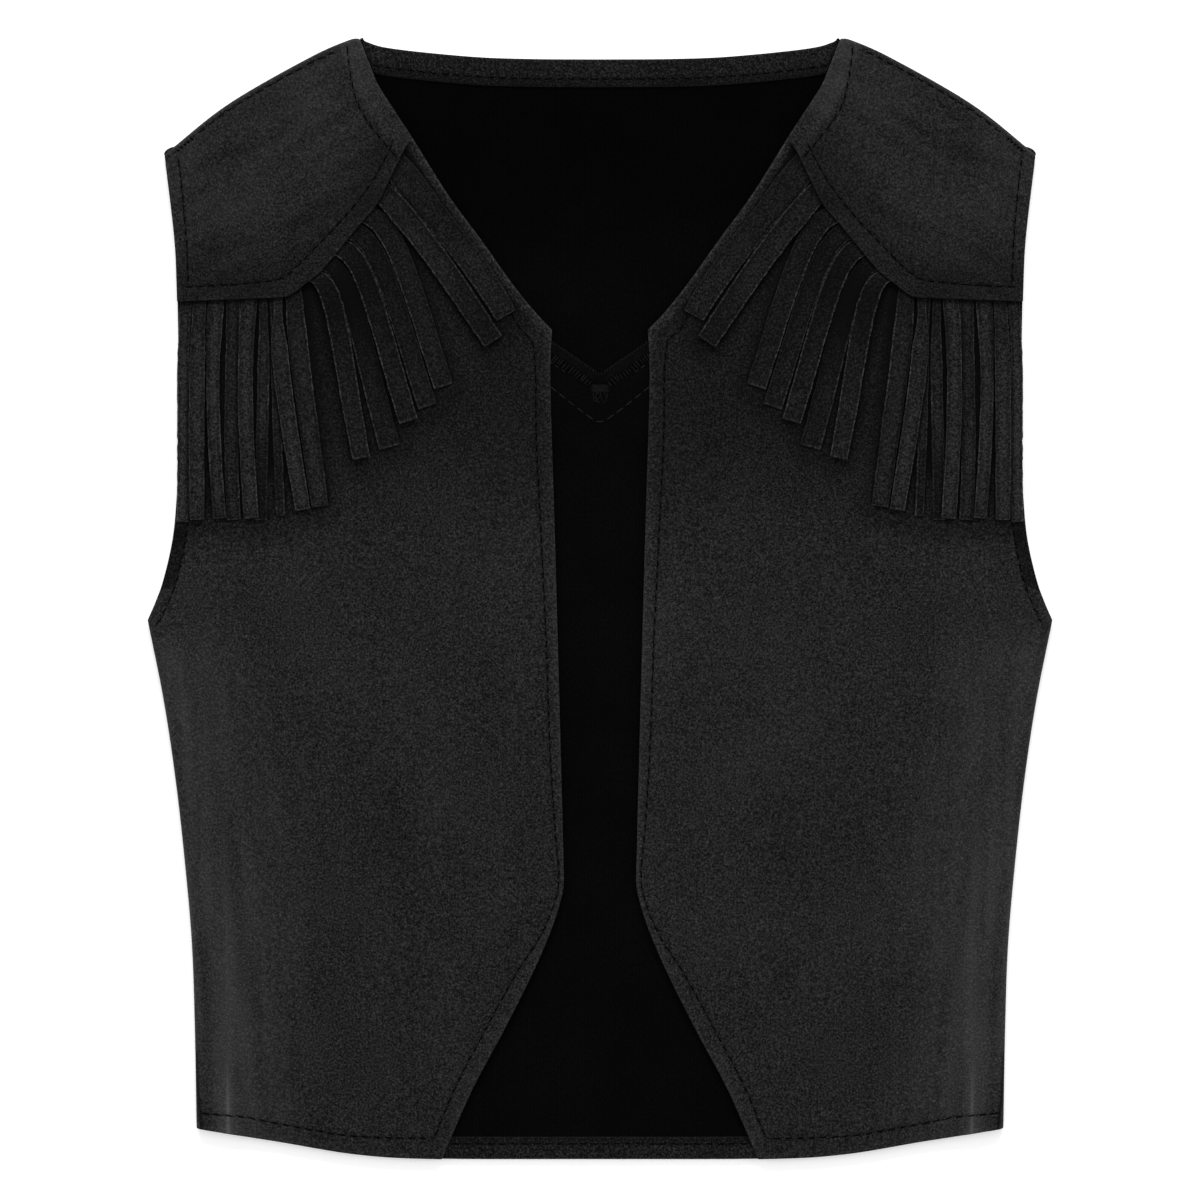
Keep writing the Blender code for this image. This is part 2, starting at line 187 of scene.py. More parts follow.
sideLine = joined(Line(sideSeam), Line(armhole))
frontLine = joined(Line(cutaway), Line(frontEdge), Line(neckline))
hemLine = Line(hem)
necklineLine = Line(neckline)
armholeLine = Line(armhole)
shoulderLine = Line(shoulder)
yokeLine = Line(yokeEdge)
underarmUp = armhole[0][1]
neckPointAcross = shoulder[0][0]


def alongSections(line, axis, stations, startSteps=(0,), endSteps=(0,)):
    # Shares of a line that land on every station, with set distances at its two ends
    shares = []
    last = len(stations) - 2
    for k, ((low, count), (high, _)) in enumerate(zip(stations, stations[1:])):
        start = line.shareWhere(axis, low) * line.length
        end = line.shareWhere(axis, high) * line.length
        head = start + np.array(startSteps if k == 0 else (0,))
        tail = end - np.array(endSteps if k == last else (0,))[::-1]
        between = head[-1] + (tail[0] - head[-1]) * np.arange(1, count) / count
        run = np.concatenate([head, between, tail])
        shares.append(run if k == 0 else run[1:])
    return np.concatenate(shares) / line.length


def clothGrid(inner, outer, low, high, nearInner, nearOuter, middle, share):
    # Rows run from the inner to the outer points. The first row takes the form of the low line and the
    # last one that of the high line. Each row has points at set distances from both of its ends.
    width = np.linalg.norm(outer - inner, axis=1)[:, None]
    head, tail = np.array(nearInner) / width, 1 - np.array(nearOuter)[::-1] / width
    between = head[:, -1:] + (tail[:, :1] - head[:, -1:]) * np.arange(1, middle) / middle
    u = np.concatenate([head, between, tail], axis=1)
    spots = inner[:, None, :] + (outer - inner)[:, None, :] * u[..., None]
    for line, weight in ((low, (1 - share) ** 3), (high, share**3)):
        ends = line.at(np.array([0, 1]))
        bow = line.at(u) - (ends[0] + (ends[1] - ends[0]) * u[..., None])
        spots += bow * weight[:, None, None]
    return spots, u * width, (1 - u) * width


def sectionShare(*runs):
    # How far up a piece each row is, from 0 to 1
    return sum((run - run[0]) / (run[-1] - run[0]) for run in runs) / len(runs)


def rollDrop(distance, turned=1):
    # How far a fold has turned down at a distance from its seam
    radius = layers["roll"]
    inside = np.clip(radius * np.sin(turned * math.pi / 2) - distance, 0, radius)
    drop = radius - np.sqrt(np.maximum(radius**2 - inside**2, 0))
    return drop * (1 - layers["seamGap"] / radius)


def waves(spots, seed, length, count=7):
    # Soft uneven swells, between about -1 and 1
    dice = np.random.default_rng(seed)
    total = np.zeros(spots.shape[:-1])
    for _ in range(count):
        angle = dice.uniform(0, math.pi)
        size = length * dice.uniform(0.7, 1.5)
        turn = dice.uniform(0, 2 * math.pi)
        run = spots[..., 0] * math.cos(angle) + spots[..., 1] * math.sin(angle)
        total += np.sin(run * 2 * math.pi / size + turn)
    return total / count**0.5 / 1.4


def streaks(spots, seed, angle, width, length):
    # Long brushed marks in the nap, at an angle to the level
    turn = math.radians(angle)
    along = np.array([math.cos(turn), math.sin(turn)])
    return waves(np.stack([spots @ along / length, spots @ squareTo(along) / width], axis=-1), seed, 1)


def ridges(spots, table):
    # Listed creases: (from, to, half width, height), each fading out at both of its ends
    rise = np.zeros(spots.shape[:-1])
    for start, end, halfWidth, height in table:
        a, b = np.array(start, float), np.array(end, float)
        along = b - a
        share = ((spots - a) @ along) / (along @ along)
        footShade = a + np.clip(share, 0, 1)[..., None] * along
        away = np.linalg.norm(spots - footShade, axis=-1)
        fade = smoothStep((share + 0.15) / 0.45) * smoothStep((1.15 - share) / 0.45)
        rise += height * np.clip(1 - (away / halfWidth) ** 2, 0, 1) ** 2 * fade
    return rise


def edgeRound(distance, radius=0.6):
    # How full the cloth is at a distance from its edge, from almost 0 to 1
    inside = 1 - np.clip(distance / radius, 0, 1)
    return np.maximum(np.sqrt(np.maximum(1 - inside**2, 0)), 0.12)


stitching = {"pitch": 4.6, "length": 3.3, "thread": 0.5, "grooveDepth": 0.42, "grooveWidth": 0.7}


def stitchGroove(spots, lines):
    # How far the cloth is pulled down along its stitch lines, more at each needle hole
    pull = np.zeros(spots.shape[:-1])
    for line in lines:
        away, place = line.near(spots)
        holes = 0.5 + 0.5 * np.cos(2 * math.pi * place / stitching["pitch"])
        pull = np.maximum(pull, bell(away, stitching["grooveWidth"]) * (0.7 + 0.3 * holes))
        pull -= 0.22 * bell(away - 2.2, 1.4) * (0.35 + 0.3 * (1 - holes))
    return pull * stitching["grooveDepth"]


def sewnGrooveShade(spots, lines):
    # How much painted shade darkens the cloth in the sunk grooves along its stitch lines
    return bell(np.minimum.reduce([line.away(spots) for line in lines]), 0.5)


# Materials

class Wire:
    # A socket of a material; sums and products of it become Math nodes
    def __init__(self, finish, socket):
        self.finish = finish
        self.socket = socket

    def join(self, operation, first, second):
        return self.finish.add("ShaderNodeMath", {"operation": operation}, {0: first, 1: second})

    def __add__(self, other):
        return self.join("ADD", self, other)

    def __sub__(self, other):
        return self.join("SUBTRACT", self, other)

    def __mul__(self, other):
        return self.join("MULTIPLY", self, other)

    def __pow__(self, other):
        return self.join("POWER", self, other)

    __radd__ = __add__
    __rmul__ = __mul__


class Finish:
    # One material and its nodes
    def __init__(self, name):
        self.material = bpy.data.materials.new(name)
        self.material.use_nodes = True
        self.tree = self.material.node_tree
        self.tree.nodes.clear()
        self.place = self.add("ShaderNodeTexCoord", output="Object")

    def add(self, kind, settings=None, inputs=None, output=0):
        node = self.tree.nodes.new(kind)
        for name, value in (settings or {}).items():
            setattr(node, name, value)
        for key, value in (inputs or {}).items():
            if isinstance(value, Wire):
                self.tree.links.new(value.socket, node.inputs[key])
            else:
                node.inputs[key].default_value = value
        return Wire(self, node.outputs[output]) if node.outputs else node

    def noise(self, scale, detail=2, roughness=0.5, stretch=None):
        place = self.place
        if stretch:
            place = self.add("ShaderNodeVectorMath", {"operation": "MULTIPLY"}, {0: place, 1: stretch})
        inputs = {"Vector": place, "Scale": scale, "Detail": detail, "Roughness": roughness}
        return self.add("ShaderNodeTexNoise", None, inputs, "Fac")

    def columns(self, direction, inputs):
        settings = {"bands_direction": direction}
        return self.add("ShaderNodeTexWave", settings, {"Vector": self.place, **inputs}, "Fac")

    def attribute(self, name):
        return self.add("ShaderNodeAttribute", {"attribute_name": name}, output="Fac")

    def limited(self, value, low, high):
        return self.add("ShaderNodeClamp", None, {"Value": value, "Min": low, "Max": high})

    def surface(self, look, shade, bump=None):
        # The shader: the look's grey under a shade, with a bump where one is given
        settings = {"operation": "SCALE"}
        grey = self.add("ShaderNodeVectorMath", settings, {0: (look["grey"],) * 3, "Scale": shade})
        inputs = {"Base Color": grey, **look["shader"]}
        if bump:
            inputs["Normal"] = self.add("ShaderNodeBump", None, bump)
        shader = self.add("ShaderNodeBsdfPrincipled", None, inputs)
        self.add("ShaderNodeOutputMaterial", None, {"Surface": shader})
        return self.material


def suedeFinish(name, look):
    # Napped faux suede: a fine mottled pile, cloudy where it has been brushed, paler at cut edges, partly
    # from their fuzz and partly as a painted highlight where an edge faces the light
    finish = Finish(name)
    tone, cut = finish.attribute("tone"), finish.attribute("cut")
    pile = finish.noise(look["pileScale"], 2, 0.65)
    fibre = finish.noise(look["fibreScale"], 1, 0.5, (1, 0.55, 1))
    fleck = finish.noise(look["fleckScale"], 1)
    brushed = finish.noise(look["cloudScale"], 3, 0.6, (1, 0.45, 1))
    patches = finish.noise(look["cloudScale"] * 0.32)
    # the grain is as strong where the tone is pale, painted light included, as where it is dark, and fades
    # slowly in shade
    held = finish.limited(tone, 0, 1)
    spare = look["meanGrain"] - 1
    lit = finish.limited(1 + look["pile"] * (pile - 0.5) + look["fibre"] * (fibre - 0.5), 0.1, 3)
    cloudy = 1 + look["cloud"] * (brushed - 0.5) * 2 + look["cloud"] * 0.7 * (patches - 0.5) * 2
    flecks = finish.limited((fleck - 0.6) * 6, 0, 1) * look["flecks"]
    # paler along cut edges: the fuzz of cut suede, and a painted highlight where an edge faces the light
    fuzzAndHighlight = finish.limited((fleck - 0.4) * 6, 0.2, 1.5) * cut * look["cutEdge"]
    grain = (lit * lit - 1 + flecks - spare) * held**0.78
    shade = finish.limited(tone * cloudy + spare * held + grain + fuzzAndHighlight, 0.05, 6)
    bump = {"Height": pile * 0.7 + fibre * 0.3, "Strength": look["bump"], "Distance": 0.0003}
    return finish.surface(look, shade, bump)


def knitFinish(name, look):
    # The dull knitted wrong side: short upright loops in close columns
    finish = Finish(name)
    loops = finish.noise(look["loopScale"], 1, 0.4, (1, 0.6, 1))
    cloudy = finish.noise(look["cloudScale"])
    across = finish.columns("X", {
        "Scale": look["columnScale"], "Distortion": 1.5, "Detail": 1, "Detail Scale": 3,
    })
    shade = (1 + 0.5 * (loops - 0.5) * 2 + 0.25 * (across - 0.5)) * (1 + 0.3 * (cloudy - 0.5) * 2)
    shade = finish.limited(shade * finish.attribute("tone"), 0.05, 6)
    return finish.surface(look, shade, {"Height": loops + across * 0.4, "Strength": 0.3, "Distance": 0.0002})


def threadFinish(name, grey, shine):
    # Twisted sewing thread
    finish = Finish(name)
    twist = finish.columns("DIAGONAL", {"Scale": 900, "Distortion": 0.6})
    shade = 0.75 + 0.3 * twist + 0.4 * (finish.noise(700, 1) - 0.5)
    look = {"grey": grey, "shader": {"Roughness": 0.7, "Specular IOR Level": shine}}
    return finish.surface(look, shade, {"Height": twist, "Strength": 0.5, "Distance": 0.0001})


suedeLook = {
    "grey": 0.0102,
    "pileScale": 1250,
    "fibreScale": 2300,
    "fleckScale": 900,
    "cloudScale": 60,
    "pile": 3.35,
    "fibre": 1.5,
    "meanGrain": 1.2,
    "cloud": 0.32,
    "flecks": 0.8,
    "cutEdge": 3.8,
    "bump": 0.55,
    "shader": {"Roughness": 0.95, "Specular IOR Level": 0.06, "Sheen Weight": 0.05},
}
wrongSideLook = {
    "grey": 0.0021,
    "loopScale": 1500,
    "columnScale": 260,
    "cloudScale": 30,
    "shader": {"Roughness": 1, "Specular IOR Level": 0},
}

suede = suedeFinish("suede", suedeLook)
strandSuede = suedeFinish("strand_suede", {**suedeLook, "grey": 0.0106, "pile": 3.1})
yokeSuede = suedeFinish("yoke_suede", {**suedeLook, "pile": 2.8, "cloud": 0.38})
bandSuede = suedeFinish("band_suede", {**suedeLook, "pile": 4.6, "fibre": 2.2})
wrongSide = knitFinish("suede_wrong_side", wrongSideLook)
thread = threadFinish("thread", 0.0009, 0.01)
paleThread = threadFinish("pale_thread", 0.0090, 0.1)
overlockThread = threadFinish("overlock_thread", 0.0044, 0.05)
print("materials made")


# Cloth shells

def linked(name, data):
    item = bpy.data.objects.new(name, data)
    bpy.context.scene.collection.objects.link(item)
    return item


def smoothMesh(name, vertices, faces, finishes, shades):
    mesh = bpy.data.meshes.new(name)
    mesh.from_pydata(vertices, [], faces)
    for finish in finishes:
        mesh.materials.append(finish)
    mesh.polygons.foreach_set("use_smooth", np.ones(len(faces), bool))
    for label, values in shades.items():
        mesh.attributes.new(label, "FLOAT", "POINT").data.foreach_set("value", values)
    return linked(name, mesh)


def bothHalves(values, turned=1):
    # A half that starts at the centre line, with its mirror image before it
    return np.concatenate([values[:, :0:-1] * turned, values], axis=1)


def clothMesh(name, spots, height, full, tone, cut, finish, thickness=layers["cloth"], side=0, facing=1):
    # A closed shell. height is that of the face that faces out, and full how full each point is.
    # With no side it is a half from the centre line on, and gets its mirror image.
    if side:
        spots = spots * np.array([side, 1])
    else:
        spots = bothHalves(spots, np.array([-1, 1]))
        height, full, tone, cut = (bothHalves(values) for values in (height, full, tone, cut))
    points = np.concatenate([spots, height[..., None]], axis=-1)
    square = np.cross(np.gradient(points, axis=1), np.gradient(points, axis=0))
    square /= np.maximum(np.linalg.norm(square, axis=-1, keepdims=True), 1e-9)
    square *= np.sign(np.sum(square[..., 2])) * facing
    top = points - square * ((thickness / 2) * (1 - full))[..., None]
    under = top - square * (thickness * full)[..., None]
    count = height.size
    index = np.arange(count).reshape(height.shape)
    a, b, c, d = index[:-1, :-1], index[:-1, 1:], index[1:, 1:], index[1:, :-1]
    faces = np.stack([a, b, c, d], axis=-1).reshape(-1, 4)
    rim = np.concatenate([index[0, :], index[1:, -1], index[-1, -2::-1], index[-2:0:-1, 0]])
    after = np.roll(rim, -1)
    rimFaces = np.stack([rim, rim + count, after + count, after], axis=-1)
    allFaces = np.concatenate([faces, faces[:, ::-1] + count, rimFaces])
    vertices = np.concatenate([top.reshape(-1, 3), under.reshape(-1, 3)])
    vertices = (vertices + (0, middleShift, 0)) * mm
    p = vertices[allFaces]
    if sum(np.sum(p[:, 0] * np.cross(p[:, k], p[:, k + 1])) for k in (1, 2)) < 0:
        allFaces = allFaces[:, ::-1]
    # walls that face up from the floor darken toward their foot, a painted shade; on the back pieces, whose
    # under face is the inside that shows, they don't
    shades = {}
    for label, values, footShade in (("tone", tone, 1 if facing < 0 else 0.55), ("cut", cut, 0)):
        values = values.astype(np.float32).reshape(-1)
        shades[label] = np.concatenate([values, values * np.float32(footShade)])
    piece = smoothMesh(name, vertices, allFaces, (finish, wrongSide), shades)
    slots = np.zeros(len(allFaces), np.int32)
    slots[len(faces):2 * len(faces)] = 1
    piece.data.polygons.foreach_set("material_index", slots)
    piece.data.update()
    return piece


def surfaceOf(piece):
    faces = [tuple(face.vertices) for face in piece.data.polygons]
    return BVHTree.FromPolygons([tuple(vertex.co) for vertex in piece.data.vertices], faces)


def laidOn(trees, side, spots, lifts):
    # The spots at set heights over the cloth, or nothing where one of them is off it
    points = []
    for (across, up), lift in zip(spots, lifts):
        start = Vector((side * across * mm, (up + middleShift) * mm, 0.05))
        hits = [tree.ray_cast(start, Vector((0, 0, -1)))[0] for tree in trees]
        heights = [hit.z / mm for hit in hits if hit is not None]
        if not heights:
            return []
        points.append((side * across, up, max(heights) + lift))
    return points


class Threads:
    # Many short pieces of thread in one mesh
    def __init__(self):
        self.vertices = []
        self.faces = []

    def run(self, points, radius, sides=6, flat=0.8, taper=0.5):
        # A thread through points (mm), thinner where it dives into the cloth
        points = np.array(points, float)
        base, count = len(self.vertices), len(points)
        for k, spot in enumerate(points):
            along = unit(points[min(k + 1, count - 1)] - points[max(k - 1, 0)])
            right = unit(np.cross(along, (0, 0, 1)))
            lift = np.cross(right, along)
            size = radius * (taper if k in (0, count - 1) else 1)
            for angle in 2 * math.pi * np.arange(sides) / sides:
                turn = right * math.cos(angle) + lift * math.sin(angle) * flat
                self.vertices.append(tuple((spot + turn * size + (0, middleShift, 0)) * mm))
        for low in range(base, base + (count - 1) * sides, sides):
            for n in range(sides):
                m = (n + 1) % sides
                self.faces.append((low + n, low + m, low + sides + m, low + sides + n))
        self.faces.append(tuple(base + n for n in reversed(range(sides))))
        self.faces.append(tuple(base + (count - 1) * sides + n for n in range(sides)))

    def lay(self, trees, side, spots, lifts, radius, **more):
        points = laidOn(trees, side, spots, lifts)
        if points:
            self.run(points, radius, **more)

    def made(self, name, finish, slot="suede", tone=1):
        shades = {"tone": np.full(len(self.vertices), tone, np.float32)}
        piece = smoothMesh(name, self.vertices, self.faces, (finish,), shades)
        piece.data.update()
        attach(piece, "root")
        return piece


def sewLine(threads, line, trees, side, seed, lean=0, kind=stitching):
    # Lockstitches along a line, each one lying on the cloth and diving in at both ends
    dice = np.random.default_rng(seed)
    place = 0.6
    radius = kind["thread"] / 2
    lifts = [radius * 0.8 - 0.12 - dive for dive in (0.42, 0.1, 0, 0.1, 0.42)]
    while place + kind["length"] < line.length:
        length = kind["length"] * dice.uniform(0.94, 1.06)
        middle = (place + length / 2) / line.length
        turn = math.radians(dice.normal(lean, 2))
        along = line.direction(middle)
        along = along * math.cos(turn) + squareTo(along) * math.sin(turn)
        spots = [line.at(middle) + along * length * share for share in (-0.5, -0.36, 0, 0.36, 0.5)]
        threads.lay(trees, side, spots, lifts, radius)
        place += kind["pitch"]


def clothPiece(piece):
    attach(piece, "root")
    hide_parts(piece.name.replace("_cloth", ""))
    return piece


fineEdge = (0, 0.08, 0.25, 0.6, 1.1, 1.6, *(0.4 * np.arange(5, 18)), 7.3, 8.1, 9)
fineRoll = (0, 0.12, 0.35, 0.7, 1.1, 1.6, 2.1, 2.6, 3.2, 4, 4.8, 5.6, 6.4, 7.2, 8, 9)
creaseColumns = (10, 11, 12, 13, 14, 15, 16, 17, 18.5, 20, 22, 24, 26, 28.5, 31, 35)

# The back below its yoke

back = {
    "vUp": 63.2,
    "vSlope": 0.68,
    "level": 118.4,
    "lap": 22,
    "lapHold": 27,
    "lapEase": 15,
    "underarmRunOut": 14,
    "overlockPaler": 0.36,
    "overlockDark": 0.4,
}


def backVEdge(moved=0):
    slope = back["vSlope"]
    start = back["vUp"] + moved * math.sqrt(1 + slope**2)
    level = back["level"] + moved
    bend = (level - start) / slope
    return Line([
        (0, start), (bend * 0.4, start + bend * 0.4 * slope), (bend - 12, level - 12 * slope),
        (bend, level - 2.6), (bend + 14, level), (168.8, level),
    ])


def makeBackBody():
    top = backVEdge(back["lap"])
    stations = [
        (-212, 76), (-60, 26), (underarmUp, 16), (7, 40), (88, 24), (top.spots[-1][1], 0),
    ]
    shares = alongSections(sideLine, 1, stations, fineEdge, (0, 0.3, 0.8, 1.6, 2.6, 4))
    share = sectionShare(shares)
    centre = np.stack([0 * share, hem[0][1] + (top.spots[0][1] - hem[0][1]) * share], axis=-1)
    spots, _, fromSide = clothGrid(
        centre, sideLine.at(shares), hemLine, top, (0,), fineRoll, 78, share
    )
    lapped = top.away(spots)
    turned = falling(np.maximum(0, spots[..., 1] - underarmUp), 0, back["underarmRunOut"])
    height = rollDrop(fromSide, turned)
    height += layers["lapRise"] * falling(lapped, back["lapHold"], back["lapEase"])
    armEdge = armholeLine.part(0.1, 1)
    full = edgeRound(np.minimum(np.minimum(hemLine.away(spots), lapped), armEdge.away(spots)))
    # the overlock is paler in patches, but for a little way on each side of the centre
    arm = rising(spots[..., 0], 1.6, 2)
    patches = arm + 0.5 * arm * waves(spots, 17, 4)
    tone = 1 + back["overlockPaler"] * falling(lapped, 3.6, 0.8) * patches
    tone -= back["overlockDark"] * bell(lapped - 5.9, 1.5, 4)
    return clothPiece(clothMesh(
        "back_body_cloth", spots, height, full, tone, 0 * tone, suede, facing=-1,
    ))


def makeBackYoke():
    top, low = joined(Line(backNeck), shoulderLine), backVEdge()
    topStations = [(0, 40), (78, 8), (92.2, 4), (96, 50), (174, 0)]
    lowStations = [(0, 40), (70, 8), (82, 4), (88, 50), (168.8, 0)]
    topShares = alongSections(top, 0, topStations, endSteps=(0, 0.3, 0.8, 1.6, 3))
    lowShares = alongSections(low, 0, lowStations, endSteps=(0, 0.3, 0.8, 1.6, 3))
    armPart = armholeLine.part(armholeLine.shareWhere(1, back["level"]), 1)
    inner, outer = low.at(lowShares), top.at(topShares)
    inner[-1] = armPart.spots[0]
    centre, share = Line([inner[0], outer[0]]), np.linspace(0, 1, len(inner))
    spots, _, fromTop = clothGrid(inner, outer, centre, armPart, (0, 1, 12), fineRoll, 44, share)
    height = rollDrop(fromTop + 0.7 * np.maximum(0, neckPointAcross - spots[..., 0]))
    full = edgeRound(np.minimum(Line(backNeck).away(spots), armPart.part(0, 0.95).away(spots)))
    # painted shade: darker toward the neck inside the back
    tone = 0.6 + 0.32 * smoothStep((175 - spots[..., 1]) / 60)
    # the centre line is the first row here, so rows and columns change places
    return clothPiece(clothMesh(
        "back_yoke_cloth", spots.transpose(1, 0, 2), height.T, full.T, tone.T, 0 * tone.T, suede, facing=-1,
    ))


bands = {
    "neck": {"edge": backNeck, "width": 11.2, "count": 60, "stitch": 8, "toward": -1, "tone": 0.52},
    "hem": {"edge": hem, "reach": 155.5, "width": 9, "count": 96, "stitch": 6.2, "toward": 1,
            "tone": 0.54},
}


def bandEnd(edge, reach, facts):
    # The share of the edge at which a line of the band ends; the neck band runs out to the neckline
    if facts["toward"] > 0:
        return edge.shareWhere(0, facts["reach"])
    shares = np.linspace(0.8, 1, 400)
    spots = edge.at(shares) - squareTo(edge.direction(shares)) * reach
    limit = np.interp(spots[:, 1], [p[1] for p in neckline], [p[0] for p in neckline]) - 0.2
    past = np.nonzero(spots[:, 0] > limit)[0]
    return shares[past[0]] if len(past) else 1


def makeBand(name, facts):
    # A turned band along an edge of the back, right side showing
    edge, width, stitch = Line(facts["edge"]), facts["width"], facts["stitch"]
    steps = (0.3, 0.36, 0.5, 0.8, 1.4, 2.2, 3, 3.8, 4.6, 5.4, 6.2, 7, 7.8)
    reach = [s for s in steps if s < width - 1.2] + [width - d for d in (1.2, 0.7, 0.35, 0.12, 0)]
    reach = np.array(reach)
    ends = np.array([bandEnd(edge, r, facts) for r in reach])
    tail = 1 - np.array([2.4, 1.6, 0.9, 0.4, 0.12, 0]) / 90
    run = np.concatenate([np.linspace(0, tail[0], facts["count"])[:-1], tail])
    shares = run[:, None] * ends
    along = edge.direction(shares)
    along[0] = (1, 0)
    square = squareTo(along) * facts["toward"]
    spots = edge.at(shares) + square * reach[:, None]
    fromEdge = np.zeros(shares.shape) + reach - 0.3
    toInner = width - 0.3 - fromEdge
    seam = Line(edge.at(shares[:, 0]) + square[:, 0] * stitch, 0)
    height = layers["bandTop"] - 0.2 - stitchGroove(spots, [seam]) * 0.8
    height += 0.16 * np.sin(math.pi * np.clip(fromEdge / stitch, 0, 1))
    height += 0.06 * waves(spots, 21, 12) - 0.25 * falling(toInner, 0, 1.6)
    # painted shade along the sunk stitch line, with random swells in the tone
    tone = facts["tone"] * (1 - 0.55 * bell(seam.away(spots), 0.5)) * (1 + 0.14 * waves(spots, 5, 26))
    tone *= 1 - 0.44 * rising(fromEdge, stitch, 1.5)
    if facts["toward"] < 0:
        # at the shoulder seam the band climbs with the cloth under it
        fromSeam = fromEdge + 0.3 + 0.7 * np.maximum(0, neckPointAcross - spots[..., 0])
        inner = layers["roll"] - layers["cloth"]
        climb = np.clip((layers["roll"] - fromSeam) / inner, 0, 1)
        height += inner * (1 - np.sqrt(1 - climb**2))
        tone *= 1 - 0.34 * bell(spots[..., 0] - 31, 11)
    tipped = np.linalg.norm(spots - spots[-1:], axis=-1)
    full = edgeRound(np.minimum(np.minimum(fromEdge, toInner), tipped))
    return clothPiece(clothMesh(
        name, spots.transpose(1, 0, 2), height.T, full.T, tone.T, 0 * tone.T, bandSuede,
        layers["bandTop"] - layers["bandUnder"],
    )), seam


# The fronts

front = {
    "underYoke": 8,
    "sideRiseReach": 32,
    "armholeRiseReach": 38,
    "creaseInset": 12.6,
    "creaseHalfWidth": 5,
    "creaseHeight": 0.7,
    "creaseTop": -118,
    "creaseFull": -165,
    # painted light and shade on the fronts: side, lowerSide, underarm, crease, creaseLine, rim, turnedEdge
    # and neckBand are painted light; besideCrease, armhole, stitches and sideSeam painted shade; streaks and
    # swells random grain; chest and shoulder darken toward the top and hem along the hem edge
    "nap": {             # how much paler or darker each place is
        "side": 0.74,
        "lowerSide": 0.36,
        "crease": 0.95,
        "creaseLine": 3.4,
        "besideCrease": 0.74,
        "rim": 0.7,
        "streaks": 0.2,
        "chest": 0.3,
        "shoulder": 0.22,
        "underarm": 0.24,
        "hem": 0.12,
        "armhole": 0.7,
        "swells": 0.07,
        "stitches": 0.5,
        "turnedEdge": 0.32,
        "sideSeam": 0.9,
        "neckBand": 0.4,
    },
    "creases": [
        ((157.5, -95), (156, -205), 4, -0.3),
        ((138, -60), (137, -165), 8, 0.22),
        ((150, -5), (147, -90), 9, -0.25),
        ((163, -20), (134, -52), 9, 0.25),
        ((120, -20), (117, -120), 10, 0.16),
        ((98, 10), (90, -70), 14, 0.14),
        ((70, -60), (76, -170), 14, 0.16),
        ((46, 60), (40, -20), 12, 0.12),
        ((104, -120), (108, -205), 12, -0.14),
    ],
    "edgeStitch": [
        (78.4, 174), (73.4, 168.6), (68, 161.8), (62, 153.4), (52, 138.6), (42, 124.4),
        (37.6, 117.4), (32.4, 108.2), (27.8, 103.4), (26.4, 98.4), (25.6, 86.4), (25.4, 63.2), (22.8, 10),
        (21.4, -20), (20, -60), (18, -92), (16.4, -111.2), (18.6, -123), (24.4, -136),
        (33.4, -150), (46, -172.8), (57.6, -195.2), (66.4, -216),
    ],
    "hemStitch": [
        (159.6, -205.8), (142.8, -207.2), (128.4, -210), (113.2, -212.8), (98, -215), (66.4, -216),
    ],
    "sideSeamMark": [(161.2, -182), (160.6, -196), (159.6, -205), (158.8, -214.5)],
    "armStitch": [
        (162.6, 60), (163.4, 40), (165.2, 26), (166.8, 16.8), (168.8, 7.8), (171.4, 0.4),
        (175, -7.4), (178.4, -12.6),
    ],
}


